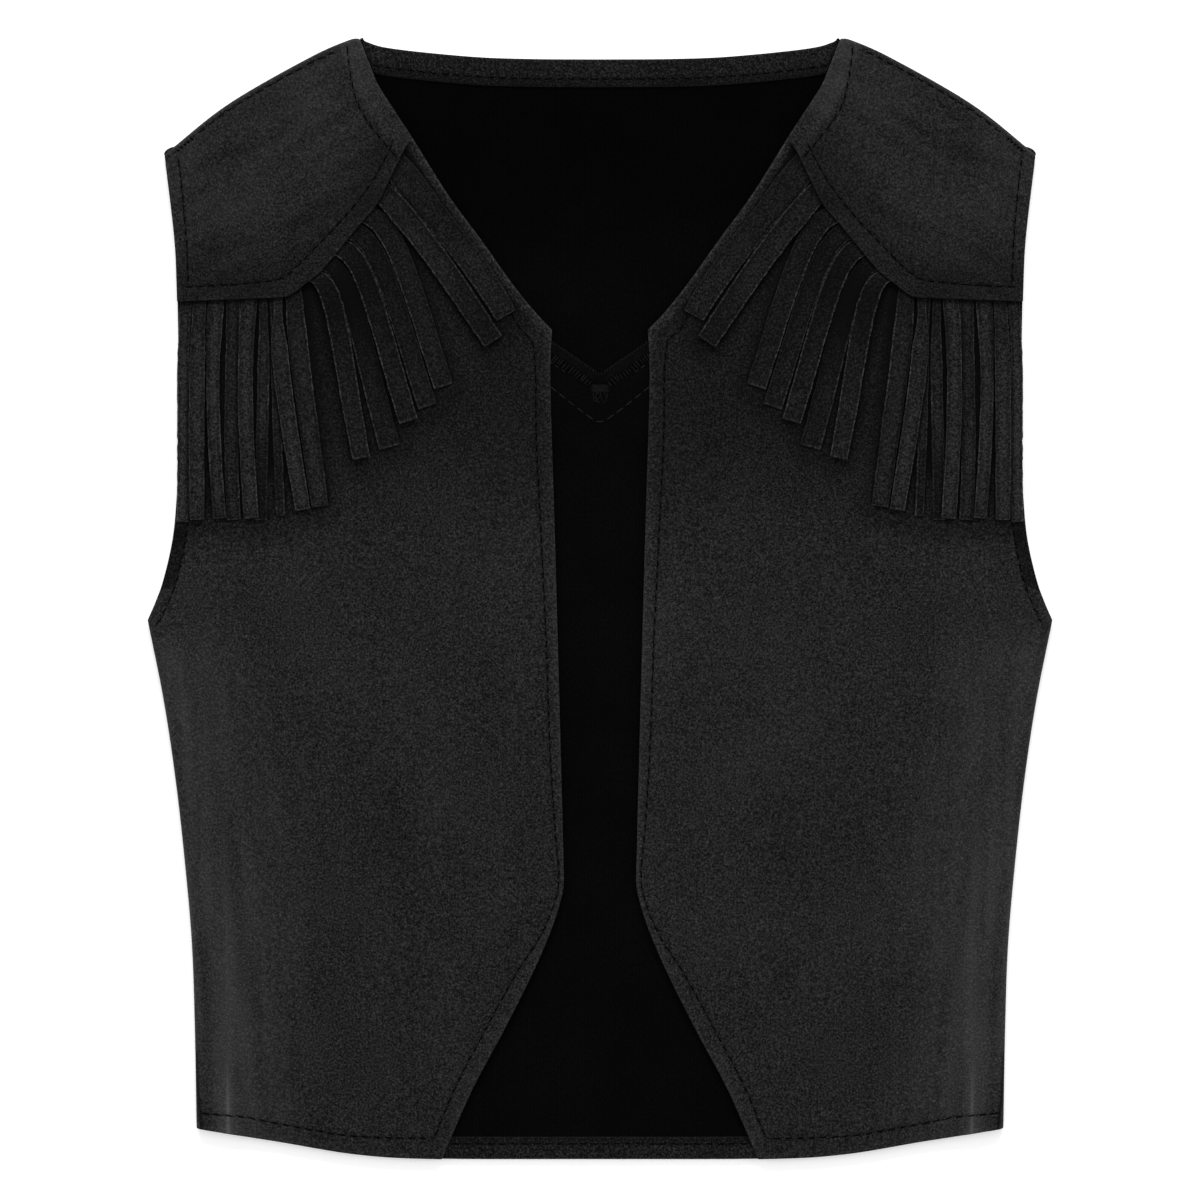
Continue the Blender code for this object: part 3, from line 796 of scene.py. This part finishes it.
def makeFront(name, side):
    sideStations = [(-212, 58), (-110, 56), (underarmUp, 14), (7, 46), (80, 36), (126.4, 0)]
    edgeStations = [(-224.2, 58), (-112.8, 56), (-8, 14), (10, 46), (107.2, 36), (191.8, 0)]
    outerShares = alongSections(sideLine, 1, sideStations, fineEdge)
    innerShares = alongSections(frontLine, 1, edgeStations, fineEdge)
    outer, inner = sideLine.at(outerShares), frontLine.at(innerShares)
    hemPart = hemLine.part(hemLine.shareWhere(0, cutaway[0][0]), 1)
    step = fringe["cornerSpread"] / yokeLine.length
    run = 0.12 + 0.8 * np.linspace(0, 1, 13)
    square = squareTo(unit(yokeLine.at(run + step) - yokeLine.at(run - step)))
    topSpots = yokeLine.at(run) + square * front["underYoke"]
    top = Line(np.vstack([inner[-1:], topSpots, outer[-1:]]), 0)
    spots, _, fromSide = clothGrid(
        inner, outer, hemPart, top, fineEdge, (*fineRoll, *creaseColumns), 78,
        sectionShare(innerShares, outerShares),
    )
    up = spots[..., 1]
    past = np.maximum(0, up - underarmUp)
    stitches = [Line(front[key]) for key in ("edgeStitch", "hemStitch", "armStitch")]
    fromEdge, fromHem = frontLine.away(spots), hemLine.away(spots)
    fromArm = armholeLine.part(0.1, 1).away(spots)
    free = np.minimum(np.minimum(fromEdge, fromHem), fromArm)

    # The form: it rises to the roll at the side, with a crease along it and soft folds
    nearRoll = falling(fromSide, layers["roll"], front["sideRiseReach"])
    nearRoll = nearRoll * falling(past, 0, front["armholeRiseReach"])
    across = np.clip(1 - ((fromSide - front["creaseInset"]) / front["creaseHalfWidth"]) ** 2, 0, 1)
    reach = rising(up, front["creaseTop"], front["creaseFull"] - front["creaseTop"])
    height = layers["frontTop"] + (2 * layers["roll"] - layers["frontTop"]) * nearRoll
    height -= rollDrop(fromSide, falling(past, 0, back["underarmRunOut"]))
    height += front["creaseHeight"] * across * reach
    height += ridges(spots, front["creases"]) * smoothStep(fromSide / 8)
    height += 0.16 * waves(spots, 3, 70) * smoothStep(fromSide / 12) * smoothStep(free / 9)
    inHem = np.maximum(falling(fromEdge, 3.6, 2), falling(fromHem, 5, 2))
    puff = 0.1 * inHem * (1 + 0.5 * waves(spots, 9, 14))
    height += puff * smoothStep(fromSide / 3)
    height -= stitchGroove(spots, stitches) * rising(fromSide, 0.5, 2.5)
    seamMark = bell(Line(front["sideSeamMark"]).away(spots), 0.75)
    height -= 0.3 * seamMark

    # The tone, mostly painted light and shade: painted light toward the side below the underarm, painted
    # highlights on the crease, the side fold, the turned edges and the band along the neckline, painted
    # shade beside the crease, along the lower armhole and in the sunk stitching and side seam mark, painted
    # shadow under the fringe, and random brushed streaks and swells
    nap = front["nap"]
    below = rising(-up, -(underarmUp + 6), 30)
    beside = smoothStep(1 - fromSide / 60)
    tone = 1 + (nap["side"] + nap["lowerSide"] * rising(-up, 50, 70)) * beside**1.1 * below
    tone += nap["crease"] * bell(fromSide - 13, 4.6) * reach
    tone += nap["creaseLine"] * bell(fromSide - 13, 0.75) * rising(-up, 180, 26)
    tone -= nap["besideCrease"] * bell(fromSide - 5, 2.8) * reach
    tone += nap["rim"] * bell(fromSide, 1.2) * rising(-up, 22, 20) * (1 - reach)
    brushed = smoothStep(1 - fromSide / 85) * below
    tone *= 1 + nap["streaks"] * streaks(spots, 71, 87, 8, 80) * brushed
    tone *= 1 - nap["chest"] * rising(up, -5, 60) - nap["shoulder"] * rising(up, 35, 50)
    tone *= 1 + nap["underarm"] * bell(up - 14, 22) * beside
    tone *= 1 - nap["hem"] * falling(fromHem, 7, 2)
    armBand = rising(-up, -34, 8) * rising(up, -12, 6)
    tone *= 1 - nap["armhole"] * falling(fromArm, 4.4, 1.6) * armBand
    tone *= 1 + nap["swells"] * waves(spots, 14, 60)
    tone *= 1 - nap["stitches"] * sewnGrooveShade(spots, stitches)
    tone *= 1 + nap["turnedEdge"] * inHem * bell(free, 2.6)
    tone *= (1 - fringeShade(spots)) * (1 - nap["sideSeam"] * seamMark)
    tone += nap["neckBand"] * falling(fromEdge, 2.6, 1.6) * rising(up, 96, 16)
    fuzzy = bell(fromEdge, 0.8) * (0.15 + 0.2 * rising(up, 80, 30))
    piece = clothMesh(name, spots, height, edgeRound(free), tone, fuzzy, suede, side=side)
    return clothPiece(piece), stitches


# The fringe: a header strip under the yoke's edge, with flat strands cut from the same piece.
# A strand's root runs between two distances across on the yoke's edge, the bend is the control point
# of its curve, and lift is how high it rides over its neighbours. The bow moves its middle toward the
# neckline, and widen adds to its width below the root. Light is how light it is, dip how much darker it
# is half way down, and tipLight how light its tip is beside that.

fringe = {
    "headerStart": 1,
    "headerEnd": 6,
    "cornerSpread": 9,
    "liftStart": 4.5,
    "liftRun": 5,
    "widthStart": 0.1,
    "widthRun": 0.25,
    "rows": 64,
    "slanted": 7,        # the first ones, which fan toward the neckline and lie in each other's shade
    "bowPeak": 0.148,
    "widenRun": 0.3,
    "overlapped": (1, 3, 4, 5),
    # painted shadow and shade: the darkening under the strands, beside a strand that lies higher, at a
    # strand's root, just inside its edges and in a thin line under the yoke's edge; the pale cut edges are
    # painted highlight
    "shadeReach": 1.1,   # how far the dark line beside a strand that lies higher reaches
    "paleReach": 0.66,   # how far a pale cut edge reaches
    "ragged": 0.09,
    "underDark": 0.97,   # the front under the strands
    "besideDark": 0.85,  # a strand beside one that lies higher
    "rootDark": {True: 0.12, False: 0.36},   # of a slanted strand, and of a hanging one
    "edgeDark": {True: 0.36, False: 0.5},
    "paleFrom": {True: 1.5, False: 8},
    "yokeDark": 0.7,     # the line just under the yoke's edge
}
# light, the darkening half way down and tipLight mix tone that differs from strand to strand with painted
# shade where a strand lies in the shade of its neighbours
Strand = namedtuple(
    "Strand", "rootFrom rootTo bendAcross bendUp tipAcross tipUp tipWidth lift bow widen light dip tipLight"
)
strands = [Strand(*row) for row in (
    (78.6, 83.9, 55.6, 145.2, 37.4, 112.8, 8.8, 0, -1.3, 1.5, 0.6, 0.32, 1),
    (84.4, 88.6, 63, 133, 42.6, 102.4, 8.2, 1.3, 0.8, 0.9, 0.62, 0.05, 0.5),
    (90.4, 95.6, 82.4, 145, 62.4, 84.5, 7.8, 0, 2.4, 0.6, 0.52, 0.34, 0.9),
    (96.2, 101, 89, 137.4, 68.9, 76.4, 7.6, 0, 2.6, 0.2, 0.46, 0.44, 1.05),
    (101.4, 106.4, 95.7, 132.1, 76.4, 70.6, 7.6, 1.3, 2.8, 0.4, 0.52, 0.7, 1.05),
    (106.8, 111.6, 102.2, 127, 84, 60.2, 8.4, 0, 2.5, 0, 0.42, 1, 1.1),
    (112, 117, 109, 123.2, 95.2, 55.8, 7, 1.3, 3.1, 1, 0.62, 0.74, 1),
    (119, 125.2, 117.6, 79.2, 111.8, 36.6, 6.6, 0.5, -0.5, 1.2, 0.8, 0.25, 1),
    (126.4, 129.8, 128, 91.2, 118.6, 35.2, 6, 1.3, -0.7, 0.7, 1.16, 0.3, 1),
    (130.3, 132.1, 130.4, 79.2, 127.4, 32.8, 3.6, 0, 0.9, 0, 0.8, 0, 0.72),
    (132.8, 136.2, 135.4, 79.2, 135.4, 31.2, 4.8, 0, 0.7, 0, 0.8, 0, 0.42),
    (136.6, 143, 143, 81.6, 139.2, 31.8, 6, 1.3, -0.2, 0, 1.12, 0.1, 1),
    (143.6, 149.2, 149.2, 79.2, 146.2, 31.2, 5.6, 0, 0.8, 0, 0.9, 0.25, 0.85),
    (149.8, 156.2, 155.8, 79.2, 151.8, 31.8, 5.2, 0.7, -0.4, 0, 1.24, 0, 0.78),
    (157, 162.4, 161.2, 79.2, 160.8, 31.2, 5.8, 1.3, -0.2, 0.4, 1.06, 0, 1.05),
    (162.8, 167.4, 165.2, 79.2, 166.7, 30.4, 5, 0, -1, 0, 1.3, 0, 1.05),
)]


def intoYoke(share, reach):
    # A point moved into the yoke from its lower edge, with the turn at the corner spread out
    step = fringe["cornerSpread"] / yokeLine.length
    along = yokeLine.at(np.clip(share + step, 0, 1)) - yokeLine.at(np.clip(share - step, 0, 1))
    return yokeLine.at(share) + squareTo(unit(along)) * reach


def rootEnds(strand, reach):
    return [intoYoke(yokeLine.shareWhere(0, across), reach) for across in (strand.rootFrom, strand.rootTo)]


def strandPath(strand, t):
    # Its middle line, the way across it, its width, its lift and how long it is
    a, b = rootEnds(strand, fringe["headerStart"])
    root, bend = (a + b) / 2, np.array([strand.bendAcross, strand.bendUp])
    tip = np.array([strand.tipAcross, strand.tipUp])
    run, rootWidth = np.linalg.norm(tip - root), np.linalg.norm(b - a)
    width = rootWidth + (strand.tipWidth - rootWidth) * rising(t, fringe["widthStart"], fringe["widthRun"])
    width = width + strand.widen * smoothStep(t / fringe["widenRun"]) * (1 - t**4)
    lift = strand.lift * rising(t * run, fringe["liftStart"], fringe["liftRun"])
    t = t[:, None]
    square = unit(squareTo((bend - root) * (1 - t) + (tip - bend) * t))
    mixed = np.clip(1 - t / fringe["widthRun"], 0, 1)
    square = unit(square * (1 - mixed) + unit(b - a) * mixed)
    spot = root * (1 - t) ** 2 + bend * (2 * t * (1 - t)) + tip * t**2
    spot = spot - square * strand.bow * t * (1 - t) ** 2 / fringe["bowPeak"]
    return spot, square, width, lift, run


def nearStrand(strand, spots):
    # How far each spot is from a strand's middle line, how far along it, and half the strand's width there
    t = np.linspace(0, 1, 24)
    spot, _, width, _, _ = strandPath(strand, t)
    line = Line(spot, 0)
    away, place = line.near(spots)
    share = place / line.length
    return away, share, np.interp(share, t, width) / 2


def fringeShade(spots):
    # How dark the front is under and between the strands, most near the yoke's edge
    deep = np.zeros(spots.shape[:-1])
    for strand in strands:
        away, share, half = nearStrand(strand, spots)
        past = np.where(share > 0.9999, away, away - half)
        around = falling(away, 5.2, 6.5) * (1 - 0.62 * smoothStep(share / 0.9))
        deep = np.maximum(deep, fringe["underDark"] * np.maximum(around, falling(past, 0, 2.1)))
    return deep


def neighbourShade(number, spots):
    # The dark line on a strand beside a neighbour that lies higher
    deep = np.zeros(spots.shape[:-1])
    for other in strands[max(number - 1, 0):number + 2]:
        if other.lift > strands[number].lift:
            away, _, half = nearStrand(other, spots)
            line = bell(np.maximum(away - half, 0), fringe["shadeReach"])
            deep = np.maximum(deep, fringe["besideDark"] * line)
    return deep


def makeStrand(number, strand, dice, side):
    t = np.concatenate([np.linspace(0, 0.985, fringe["rows"]), [0.992, 0.997, 1]])
    spot, square, width, lift, run = strandPath(strand, t)
    slanted = number < fringe["slanted"]
    # the strand goes on up into the header, under the yoke
    a, b = rootEnds(strand, fringe["headerEnd"] - 0.2)
    headWidth = np.linalg.norm(b - a)
    spot = np.vstack([(a + b) / 2, ((a + b) / 2 + spot[0]) / 2, spot])
    square = np.vstack([unit(b - a), unit(b - a), square])
    width = np.concatenate([[headWidth, (headWidth + width[0]) / 2], width])[:, None]
    lift = np.concatenate([[0, 0], lift])[:, None]
    place = np.concatenate([[-4.8, -2.4], t * run])[:, None]
    share = np.clip(place / run, 0, 1)
    across = np.array([0, 0.012, 0.04, 0.1, 0.2, 0.35, 0.5, 0.65, 0.8, 0.9, 0.96, 0.988, 1])
    knots = np.linspace(-5, run, 60)
    ragged = [
        fringe["ragged"] * np.interp(place, knots, dice.normal(0, 1, 60)) * smoothStep(share / 0.1)
        for _ in range(2)
    ]
    left, right = ragged[0] - width / 2, ragged[1] + width / 2
    grid = spot[:, None, :] + square[:, None, :] * (left + (right - left) * across)[..., None]
    fromInner, fromOuter = across * (right - left), (1 - across) * (right - left)
    fromTip = np.maximum(run - place, 0)
    edge = np.minimum(np.minimum(fromInner, fromOuter), fromTip)
    bowed = dice.uniform(-0.12, 0.05) * (np.abs(across - 0.5) * 2) ** 2 * smoothStep(share / 0.3)
    ripple = 0.07 * np.sin(share * dice.uniform(5, 9) + dice.uniform(0, 6)) * smoothStep(share / 0.2)
    height = layers["strandTop"] - 0.1 + lift + bowed + ripple

    # the cut edge is pale where it faces the light: outward on the slanted strands, here and there on
    # the hanging ones
    knots = np.linspace(-5, run, 9)
    patchy = [np.interp(place, knots, np.clip(dice.normal(0.35, 0.5, 9), 0.02, 1)) for _ in range(2)]
    if slanted:
        patchy = (1, 0.7 if lift.max() > 1 else 0.1)
    cut = 0.6 * np.clip(1 - fromTip / fringe["paleReach"], 0, 1)
    for distance, pale in zip((fromOuter, fromInner), patchy):
        cut = np.maximum(cut, np.clip(1 - distance / fringe["paleReach"], 0, 1) * pale)
    cut *= rising(place, 0.8, fringe["paleFrom"][slanted])

    own = strand.light * (1 - strand.dip * bell(share - 0.38, 0.33))
    own *= 1 + (strand.tipLight - 1) * rising(share, 0.5, 0.4)
    # painted shadow of the yoke near the root, deepest in a thin line under its edge
    shadow = 1 - fringe["rootDark"][slanted] * falling(place, 2, 26)
    shadow *= 1 - fringe["yokeDark"] * bell(np.maximum(place, 1) - 1, 1.8)
    # painted shade just inside each edge, and painted shadow beside a neighbour that lies higher
    near = 1 - fringe["edgeDark"][slanted] * bell(edge - 0.8, 0.6)
    near *= 1 - neighbourShade(number, grid)
    # painted shadow along the inner side of a strand that a neighbour lies over
    if number in fringe["overlapped"]:
        near *= 1 - 0.5 * bell(fromInner, 2.6) * falling(share, 0.75, 0.25)
    marks = waves(grid * np.array([1, 0.3]), 60 + number, 6)
    brushed = waves(grid * np.array([1, 0.06]), 90 + number, 2.2)
    tone = own * shadow * near * (1 + 0.1 * marks + 0.1 * brushed)
    return clothMesh(
        f"strand_{number}", grid, height, edgeRound(edge, 0.42), tone, cut, strandSuede,
        layers["strand"] - 0.1, side,
    )


def makeFringe(name, side):
    dice = np.random.default_rng(41)
    parts = [makeStrand(number, strand, dice, side) for number, strand in enumerate(strands)]
    ends = [yokeLine.shareWhere(0, across) for across in (strands[0].rootFrom, strands[-1].rootTo)]
    shares = np.linspace(*ends, 90)
    inner = intoYoke(shares, fringe["headerStart"] + 0.1)
    outer = intoYoke(shares, fringe["headerEnd"])
    steps = np.linspace(0, 1, 7)[:, None]
    grid = inner[:, None, :] * (1 - steps) + outer[:, None, :] * steps
    full = np.ones(grid.shape[:2])
    parts.append(clothMesh(
        "header", grid, full * (layers["strandTop"] - 0.06), full, full * 0.6, full * 0, strandSuede,
        layers["strand"] - 0.18, side,
    ))
    with bpy.context.temp_override(active_object=parts[0], selected_editable_objects=parts):
        bpy.ops.object.join()
    parts[0].name = parts[0].data.name = name
    return clothPiece(parts[0])


# The front yokes

yoke = {
    "flatReach": 9.5,
    "ease": 12,
    "topStitch": [
        (166.4, 124), (150, 124.8), (139.6, 125.6), (129, 127), (123.4, 130), (117.2, 136),
        (106, 147.6), (98.8, 155.6), (91, 166), (84.6, 177.6), (82.4, 182.6),
    ],
    "neckStitch": [
        (101, 220.6), (100.2, 213), (99, 206), (97.2, 198.6), (93.6, 191.2), (84.8, 180),
        (80.8, 175.4),
    ],
    "armStitch": [(168.4, 175.8), (166.6, 160), (165.2, 143.2), (164.2, 124)],
    "shoulderInset": 2.4,
    # painted light and shade on the yoke: stitches and shoulderStitches are painted shade in the sunk
    # stitching, shoulderEdge a painted highlight on the shoulder fold; swells and streaks are random grain;
    # all sets its paleness, lowerEdge darkens toward its lower edge and neckBand lightens the band along the
    # neckline
    "nap": {             # how pale it is, and how much paler or darker each place is
        "all": 1.18,
        "swells": 0.13,
        "streaks": 0.15,
        "stitches": 0.5,
        "lowerEdge": 0.53,
        "neckBand": 0.68,
        "shoulderStitches": 0.5,
        "shoulderEdge": 0.3,
    },
    "creases": [
        ((150, 186), (120, 205), 6, -0.22),
        ((140, 150), (112, 178), 14, 0.22),
        ((158, 168), (150, 135), 8, -0.18),
        ((120, 200), (106, 206), 8, 0.2),
        ((128, 140), (150, 134), 7, 0.14),
    ],
}


def yokeShares(line, breakShare):
    # Shares of an edge, close at its ends, with the yoke's corner at a set place among them
    fine, first = np.array(fineEdge), breakShare * line.length
    last = line.length - fine[::-1]
    one = fine[-1] + (first - fine[-1]) * np.arange(1, 41) / 40
    two = first + (last[0] - first) * np.arange(1, 24) / 24
    return np.concatenate([fine, one, two, last]) / line.length


def makeYoke(name, side):
    armPart = armholeLine.part(armholeLine.shareWhere(1, yokeEdge[-1][1]), 1)
    neckPart = necklineLine.part(necklineLine.shareWhere(1, yokeEdge[0][1]), 1)
    lowShares = yokeShares(yokeLine, yokeLine.shareWhere(0, 122.4))
    topShares = yokeShares(shoulderLine, 0.42)
    spots, fromLow, fromTop = clothGrid(
        yokeLine.at(lowShares), shoulderLine.at(topShares), neckPart, armPart, fineEdge,
        (*fineRoll, 10, 11, 12.5, 14), 52, sectionShare(lowShares, topShares),
    )
    stitches = [Line(yoke[key]) for key in ("topStitch", "neckStitch", "armStitch")]
    fromEdge, fromNeck = yokeLine.away(spots), neckPart.away(spots)
    free = np.minimum(np.minimum(fromEdge, fromNeck), armPart.part(0, 0.97).away(spots))
    ease = rising(fromLow, yoke["flatReach"], yoke["ease"])
    height = layers["yokeTop"] + (2 * layers["roll"] - layers["yokeTop"]) * ease - rollDrop(fromTop)
    loose = smoothStep(fromTop / 8) * smoothStep(free / 8)
    height += (ridges(spots, yoke["creases"]) + 0.14 * waves(spots, 33, 42)) * loose
    height += 0.08 * falling(free, 4, 2) * smoothStep(fromTop / 3)
    height -= stitchGroove(spots, stitches) * rising(fromTop, 1.2, 2.5)
    sewn = bell(fromTop - yoke["shoulderInset"], 0.7) * rising(spots[..., 0], 104, 10)
    height -= 0.22 * sewn
    nap = yoke["nap"]
    brushed = nap["streaks"] * streaks(spots, 73, 145, 9, 55)
    tone = nap["all"] * (1 + nap["swells"] * waves(spots, 52, 46) + brushed)
    tone *= 1 - nap["stitches"] * sewnGrooveShade(spots, stitches)
    tone *= 1 - nap["lowerEdge"] * falling(fromEdge, 5, 32)
    tone *= 1 + nap["neckBand"] * falling(fromNeck, 7.4, 2.6)
    tone *= 1 - nap["shoulderStitches"] * sewn
    tone *= 1 + nap["shoulderEdge"] * bell(fromTop, 1.3)
    fuzzy = 0.16 * bell(free, 0.7)
    piece = clothMesh(name, spots, height, edgeRound(free), tone, fuzzy, yokeSuede, side=side)
    return clothPiece(piece), stitches


backBody = makeBackBody()
backYoke = makeBackYoke()
neckBand, neckSeam = makeBand("back_neck_hem_cloth", bands["neck"])
hemBand, hemSeam = makeBand("back_bottom_hem_cloth", bands["hem"])
print("back made")
fronts, yokes, fringes = {}, {}, {}
for word, side in sides.items():
    fronts[word], frontSeams = makeFront(f"front_{word}_cloth", side)
    fringes[word] = makeFringe(f"fringe_{word}_cloth", side)
    yokes[word], yokeSeams = makeYoke(f"yoke_{word}_cloth", side)
print("fronts, fringe and yokes made")


# Stitching. The shoulder seam's end is held by close slanting stitches, and its folded end sticks out a
# little at the tip.

tack = {"pitch": 1.75, "length": 1.25, "thread": 0.7, "from": 0.86, "to": 0.985, "lean": 60}
seamEnd = {
    "path": [(169.2, 179.4), (171.2, 178.9), (172.7, 178), (173.4, 176.6)],
    "high": 2.6,
    "radius": 1.15,
    "tone": 0.9,
}
frontThreads, yokeThreads = {}, {}
shares = np.linspace(0.12, 0.97, 60)
inset = squareTo(shoulderLine.direction(shares)) * yoke["shoulderInset"]
shoulderStitch = Line(shoulderLine.at(shares) - inset, 0)
for word, side in sides.items():
    tree = [surfaceOf(fronts[word])]
    threads = Threads()
    for number, seam in enumerate(frontSeams):
        sewLine(threads, seam, tree, side, 100 + number, lean=7)
    frontThreads[word] = threads.made(f"front_{word}_stitching", thread)
    tree = [surfaceOf(yokes[word])]
    threads = Threads()
    for number, seam in enumerate((*yokeSeams, shoulderStitch.part(0, tack["from"]))):
        sewLine(threads, seam, tree, side, 120 + number, lean=5)
    sewLine(threads, shoulderStitch.part(tack["from"], tack["to"]), tree, side, 130, tack["lean"], tack)
    yokeThreads[word] = threads.made(f"yoke_{word}_stitching", thread)
    lump = Threads()
    path = Line(seamEnd["path"], 4).spots
    lump.run([(side * spot[0], spot[1], seamEnd["high"]) for spot in path], seamEnd["radius"], 10, 1)
    lump.made(f"shoulder_{word}_seam_end", suede, tone=seamEnd["tone"])

threads = Threads()
for side in (-1, 1):
    sewLine(threads, neckSeam, [surfaceOf(neckBand)], side, 140)
    sewLine(threads, hemSeam, [surfaceOf(hemBand)], side, 141)
bandThreads = threads.made("back_band_stitching", thread)

# The overlocked edge of the V seam, its topstitching and the bar tack at its point

vSeam = {
    "overlockWidth": 7.6,
    "overlockPitch": 1.4,
    "reach": 34,
    "dashes": {"in": 7.5, "length": 2.1, "radius": 0.25, "pitch": 3.5, "from": 11.4},
    "beads": {"in": 0.35, "length": 0.6, "radius": 0.19, "pitch": 1.5, "from": 2.4},
    "topStitch": {"up": 70.4, "slope": 0.8, "round": 2.5, "pitch": 4.6, "length": 3.4},
    "bar": {"across": 3.8, "up": 83.8, "height": 2.5, "rows": 8},
    "looseEnds": [
        ((-0.8, 83), (-1.8, 80.4), (-0.4, 77.2)), ((0.6, 83), (0.2, 80.6), (1.4, 78.4)),
        ((2, 83.2), (3, 81), (2.2, 78.8)), ((-1.8, 83.2), (-2.8, 81.2), (-2, 79.8)),
        ((-2.2, 82.4), (0.4, 81.2), (-1.9, 78.6)), ((-0.2, 82.8), (-2.6, 79.2), (0.3, 78.2)),
        ((1.2, 82.9), (2.6, 79.6), (1, 77.4)),
    ],
}


def makeVSeam(trees):
    edge = backVEdge(back["lap"])
    end = edge.shareWhere(0, vSeam["reach"]) * edge.length
    loops, pale = Threads(), Threads()
    width, pitch = vSeam["overlockWidth"], vSeam["overlockPitch"]
    dice = np.random.default_rng(77)

    def beside(place, reach, shift=0):
        # A spot at a distance in from the cut edge
        along = edge.direction(place / edge.length)
        return edge.at(place / edge.length) - squareTo(along) * reach + along * shift

    for side in (-1, 1):
        place = 0.4
        while place < end:
            slant = pitch * dice.uniform(0.2, 0.9)
            inner, outer = width * dice.uniform(0.5, 0.64), width * dice.uniform(0.9, 1.02)
            reaches = (outer, outer - 0.7, inner + 0.7, inner)
            lifts = [lift + dice.normal(0, 0.06) for lift in (-0.1, 0.16, 0.2, -0.05)]
            spots = [beside(place, reach, slant * reach / width) for reach in reaches]
            loops.lay(trees, side, spots, lifts, dice.uniform(0.22, 0.44))
            # the thread that wraps the cut edge
            points = laidOn(trees, side, [beside(place, 1.5, -slant), beside(place, 0.7)], (-0.02, 0.14))
            tip = beside(place, -0.2)
            loops.run([*points, (side * tip[0], tip[1], points[-1][2] - 0.6)], 0.26)
            place += pitch * dice.uniform(0.88, 1.12)
        # the two needle lines: dashes along the foot of the overlock, and beads on its edge
        for kind in (vSeam["dashes"], vSeam["beads"]):
            place = kind["from"]
            while place < end:
                high = 0.3 + dice.normal(0, 0.05)
                spots = [beside(place + kind["length"] * share, kind["in"]) for share in (0, 0.5, 1)]
                radius = kind["radius"] * dice.uniform(0.7, 1.4)
                pale.lay(trees, side, spots, (high - 0.3, high, high - 0.3), radius)
                place += kind["pitch"] * dice.uniform(0.85, 1.15)
    # topstitching, lower than the V and rounded at its point
    kind = vSeam["topStitch"]
    reach = np.linspace(-vSeam["reach"], vSeam["reach"], 240)
    rise = kind["slope"] * (np.sqrt(reach**2 + kind["round"] ** 2) - kind["round"])
    line = Line(np.stack([reach, kind["up"] + rise], axis=-1), 0)
    count = int(line.length / 2 / kind["pitch"])
    for number in range(-count + 1, count):
        places = number * kind["pitch"] + kind["length"] * np.array([-0.5, -0.3, 0, 0.3, 0.5])
        spots = line.at(0.5 + places / line.length)
        pale.lay(trees, 1, spots, (-0.1, 0.16, 0.2, 0.16, -0.1), dice.uniform(0.19, 0.27))
    bar = vSeam["bar"]
    for row in range(bar["rows"]):
        up = bar["up"] + bar["height"] * (row / (bar["rows"] - 1) - 0.5)
        spots = [(bar["across"] * (k / 3 - 1), up + 0.1 * math.sin(k * 2 + row)) for k in range(7)]
        loops.lay(trees, 1, spots, (-0.05, *[0.34] * 5, -0.05), 0.22)
    for ends in vSeam["looseEnds"]:
        path = Line(ends, 4).spots
        loops.lay(trees, 1, path, [0.22] * len(path), 0.24, taper=0.8)
    return (
        loops.made("v_seam_overlock", overlockThread, "suede_wrong_side"),
        pale.made("v_seam_topstitching", paleThread, "suede_wrong_side"),
    )


vSeamThreads = makeVSeam([surfaceOf(backBody), surfaceOf(backYoke)])
print("stitching made")


# The studio: a pale floor, a soft sky and large lights overhead

studio = {
    "cameraHeight": 2.6667,
    "lens": 200,
    "sensor": 36,
    "centreUp": -0.4,
    "floorSize": 9,
    "floorDrop": 0.0004,
    "sky": 0.62,
    "backLit": 0.3,      # the paper is lit a little from behind
    "lights": [
        # name, place, size, power
        ("key_from_the_neck", (0, 1.9, 1.5), (1.6, 0.5), 42),
        ("left_side", (-1.9, 0.2, 1.6), (0.8, 1.4), 9),
        ("right_side", (1.9, 0.2, 1.6), (0.8, 1.4), 9),
    ],
}
white = (1, 1, 1, 1)

floorMesh = bpy.data.meshes.new("floor")
half = studio["floorSize"] / 2
corners = [(-half, -half, 0), (half, -half, 0), (half, half, 0), (-half, half, 0)]
floorMesh.from_pydata(corners, [], [(0, 1, 2, 3)])
floor = linked("floor", floorMesh)
floor.location.z = -studio["floorDrop"]
paper = Finish("floor_paper")
floorMesh.materials.append(paper.surface({"grey": 0.93, "shader": {
    "Roughness": 0.9, "Specular IOR Level": 0.2, "Emission Color": white,
    "Emission Strength": studio["backLit"],
}}, 0.99 + 0.02 * paper.noise(40)))
floor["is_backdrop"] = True

world = bpy.data.worlds.new("soft_sky")
bpy.context.scene.world = world
world.use_nodes = True
sky = world.node_tree.nodes["Background"].inputs
sky["Color"].default_value, sky["Strength"].default_value = white, studio["sky"]

for name, place, size, power in studio["lights"]:
    lamp = linked(name, bpy.data.lights.new(name, "AREA"))
    lamp.data.shape = "RECTANGLE"
    lamp.data.size, lamp.data.size_y = size
    lamp.data.energy = power
    lamp.location = place
    lamp.rotation_mode = "QUATERNION"
    lamp.rotation_quaternion = (-Vector(place)).to_track_quat("-Z", "Y")

camera = linked("camera", bpy.data.cameras.new("camera"))
camera.data.lens, camera.data.sensor_width = studio["lens"], studio["sensor"]
camera.location = (0, studio["centreUp"] * mm, studio["cameraHeight"])
bpy.context.scene.camera = camera
bpy.context.scene.view_settings.view_transform = "Standard"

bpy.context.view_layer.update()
triangles = [sum(len(face.vertices) - 2 for face in piece.data.polygons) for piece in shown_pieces()]
print("triangles:", sum(triangles), "most:", max(triangles))
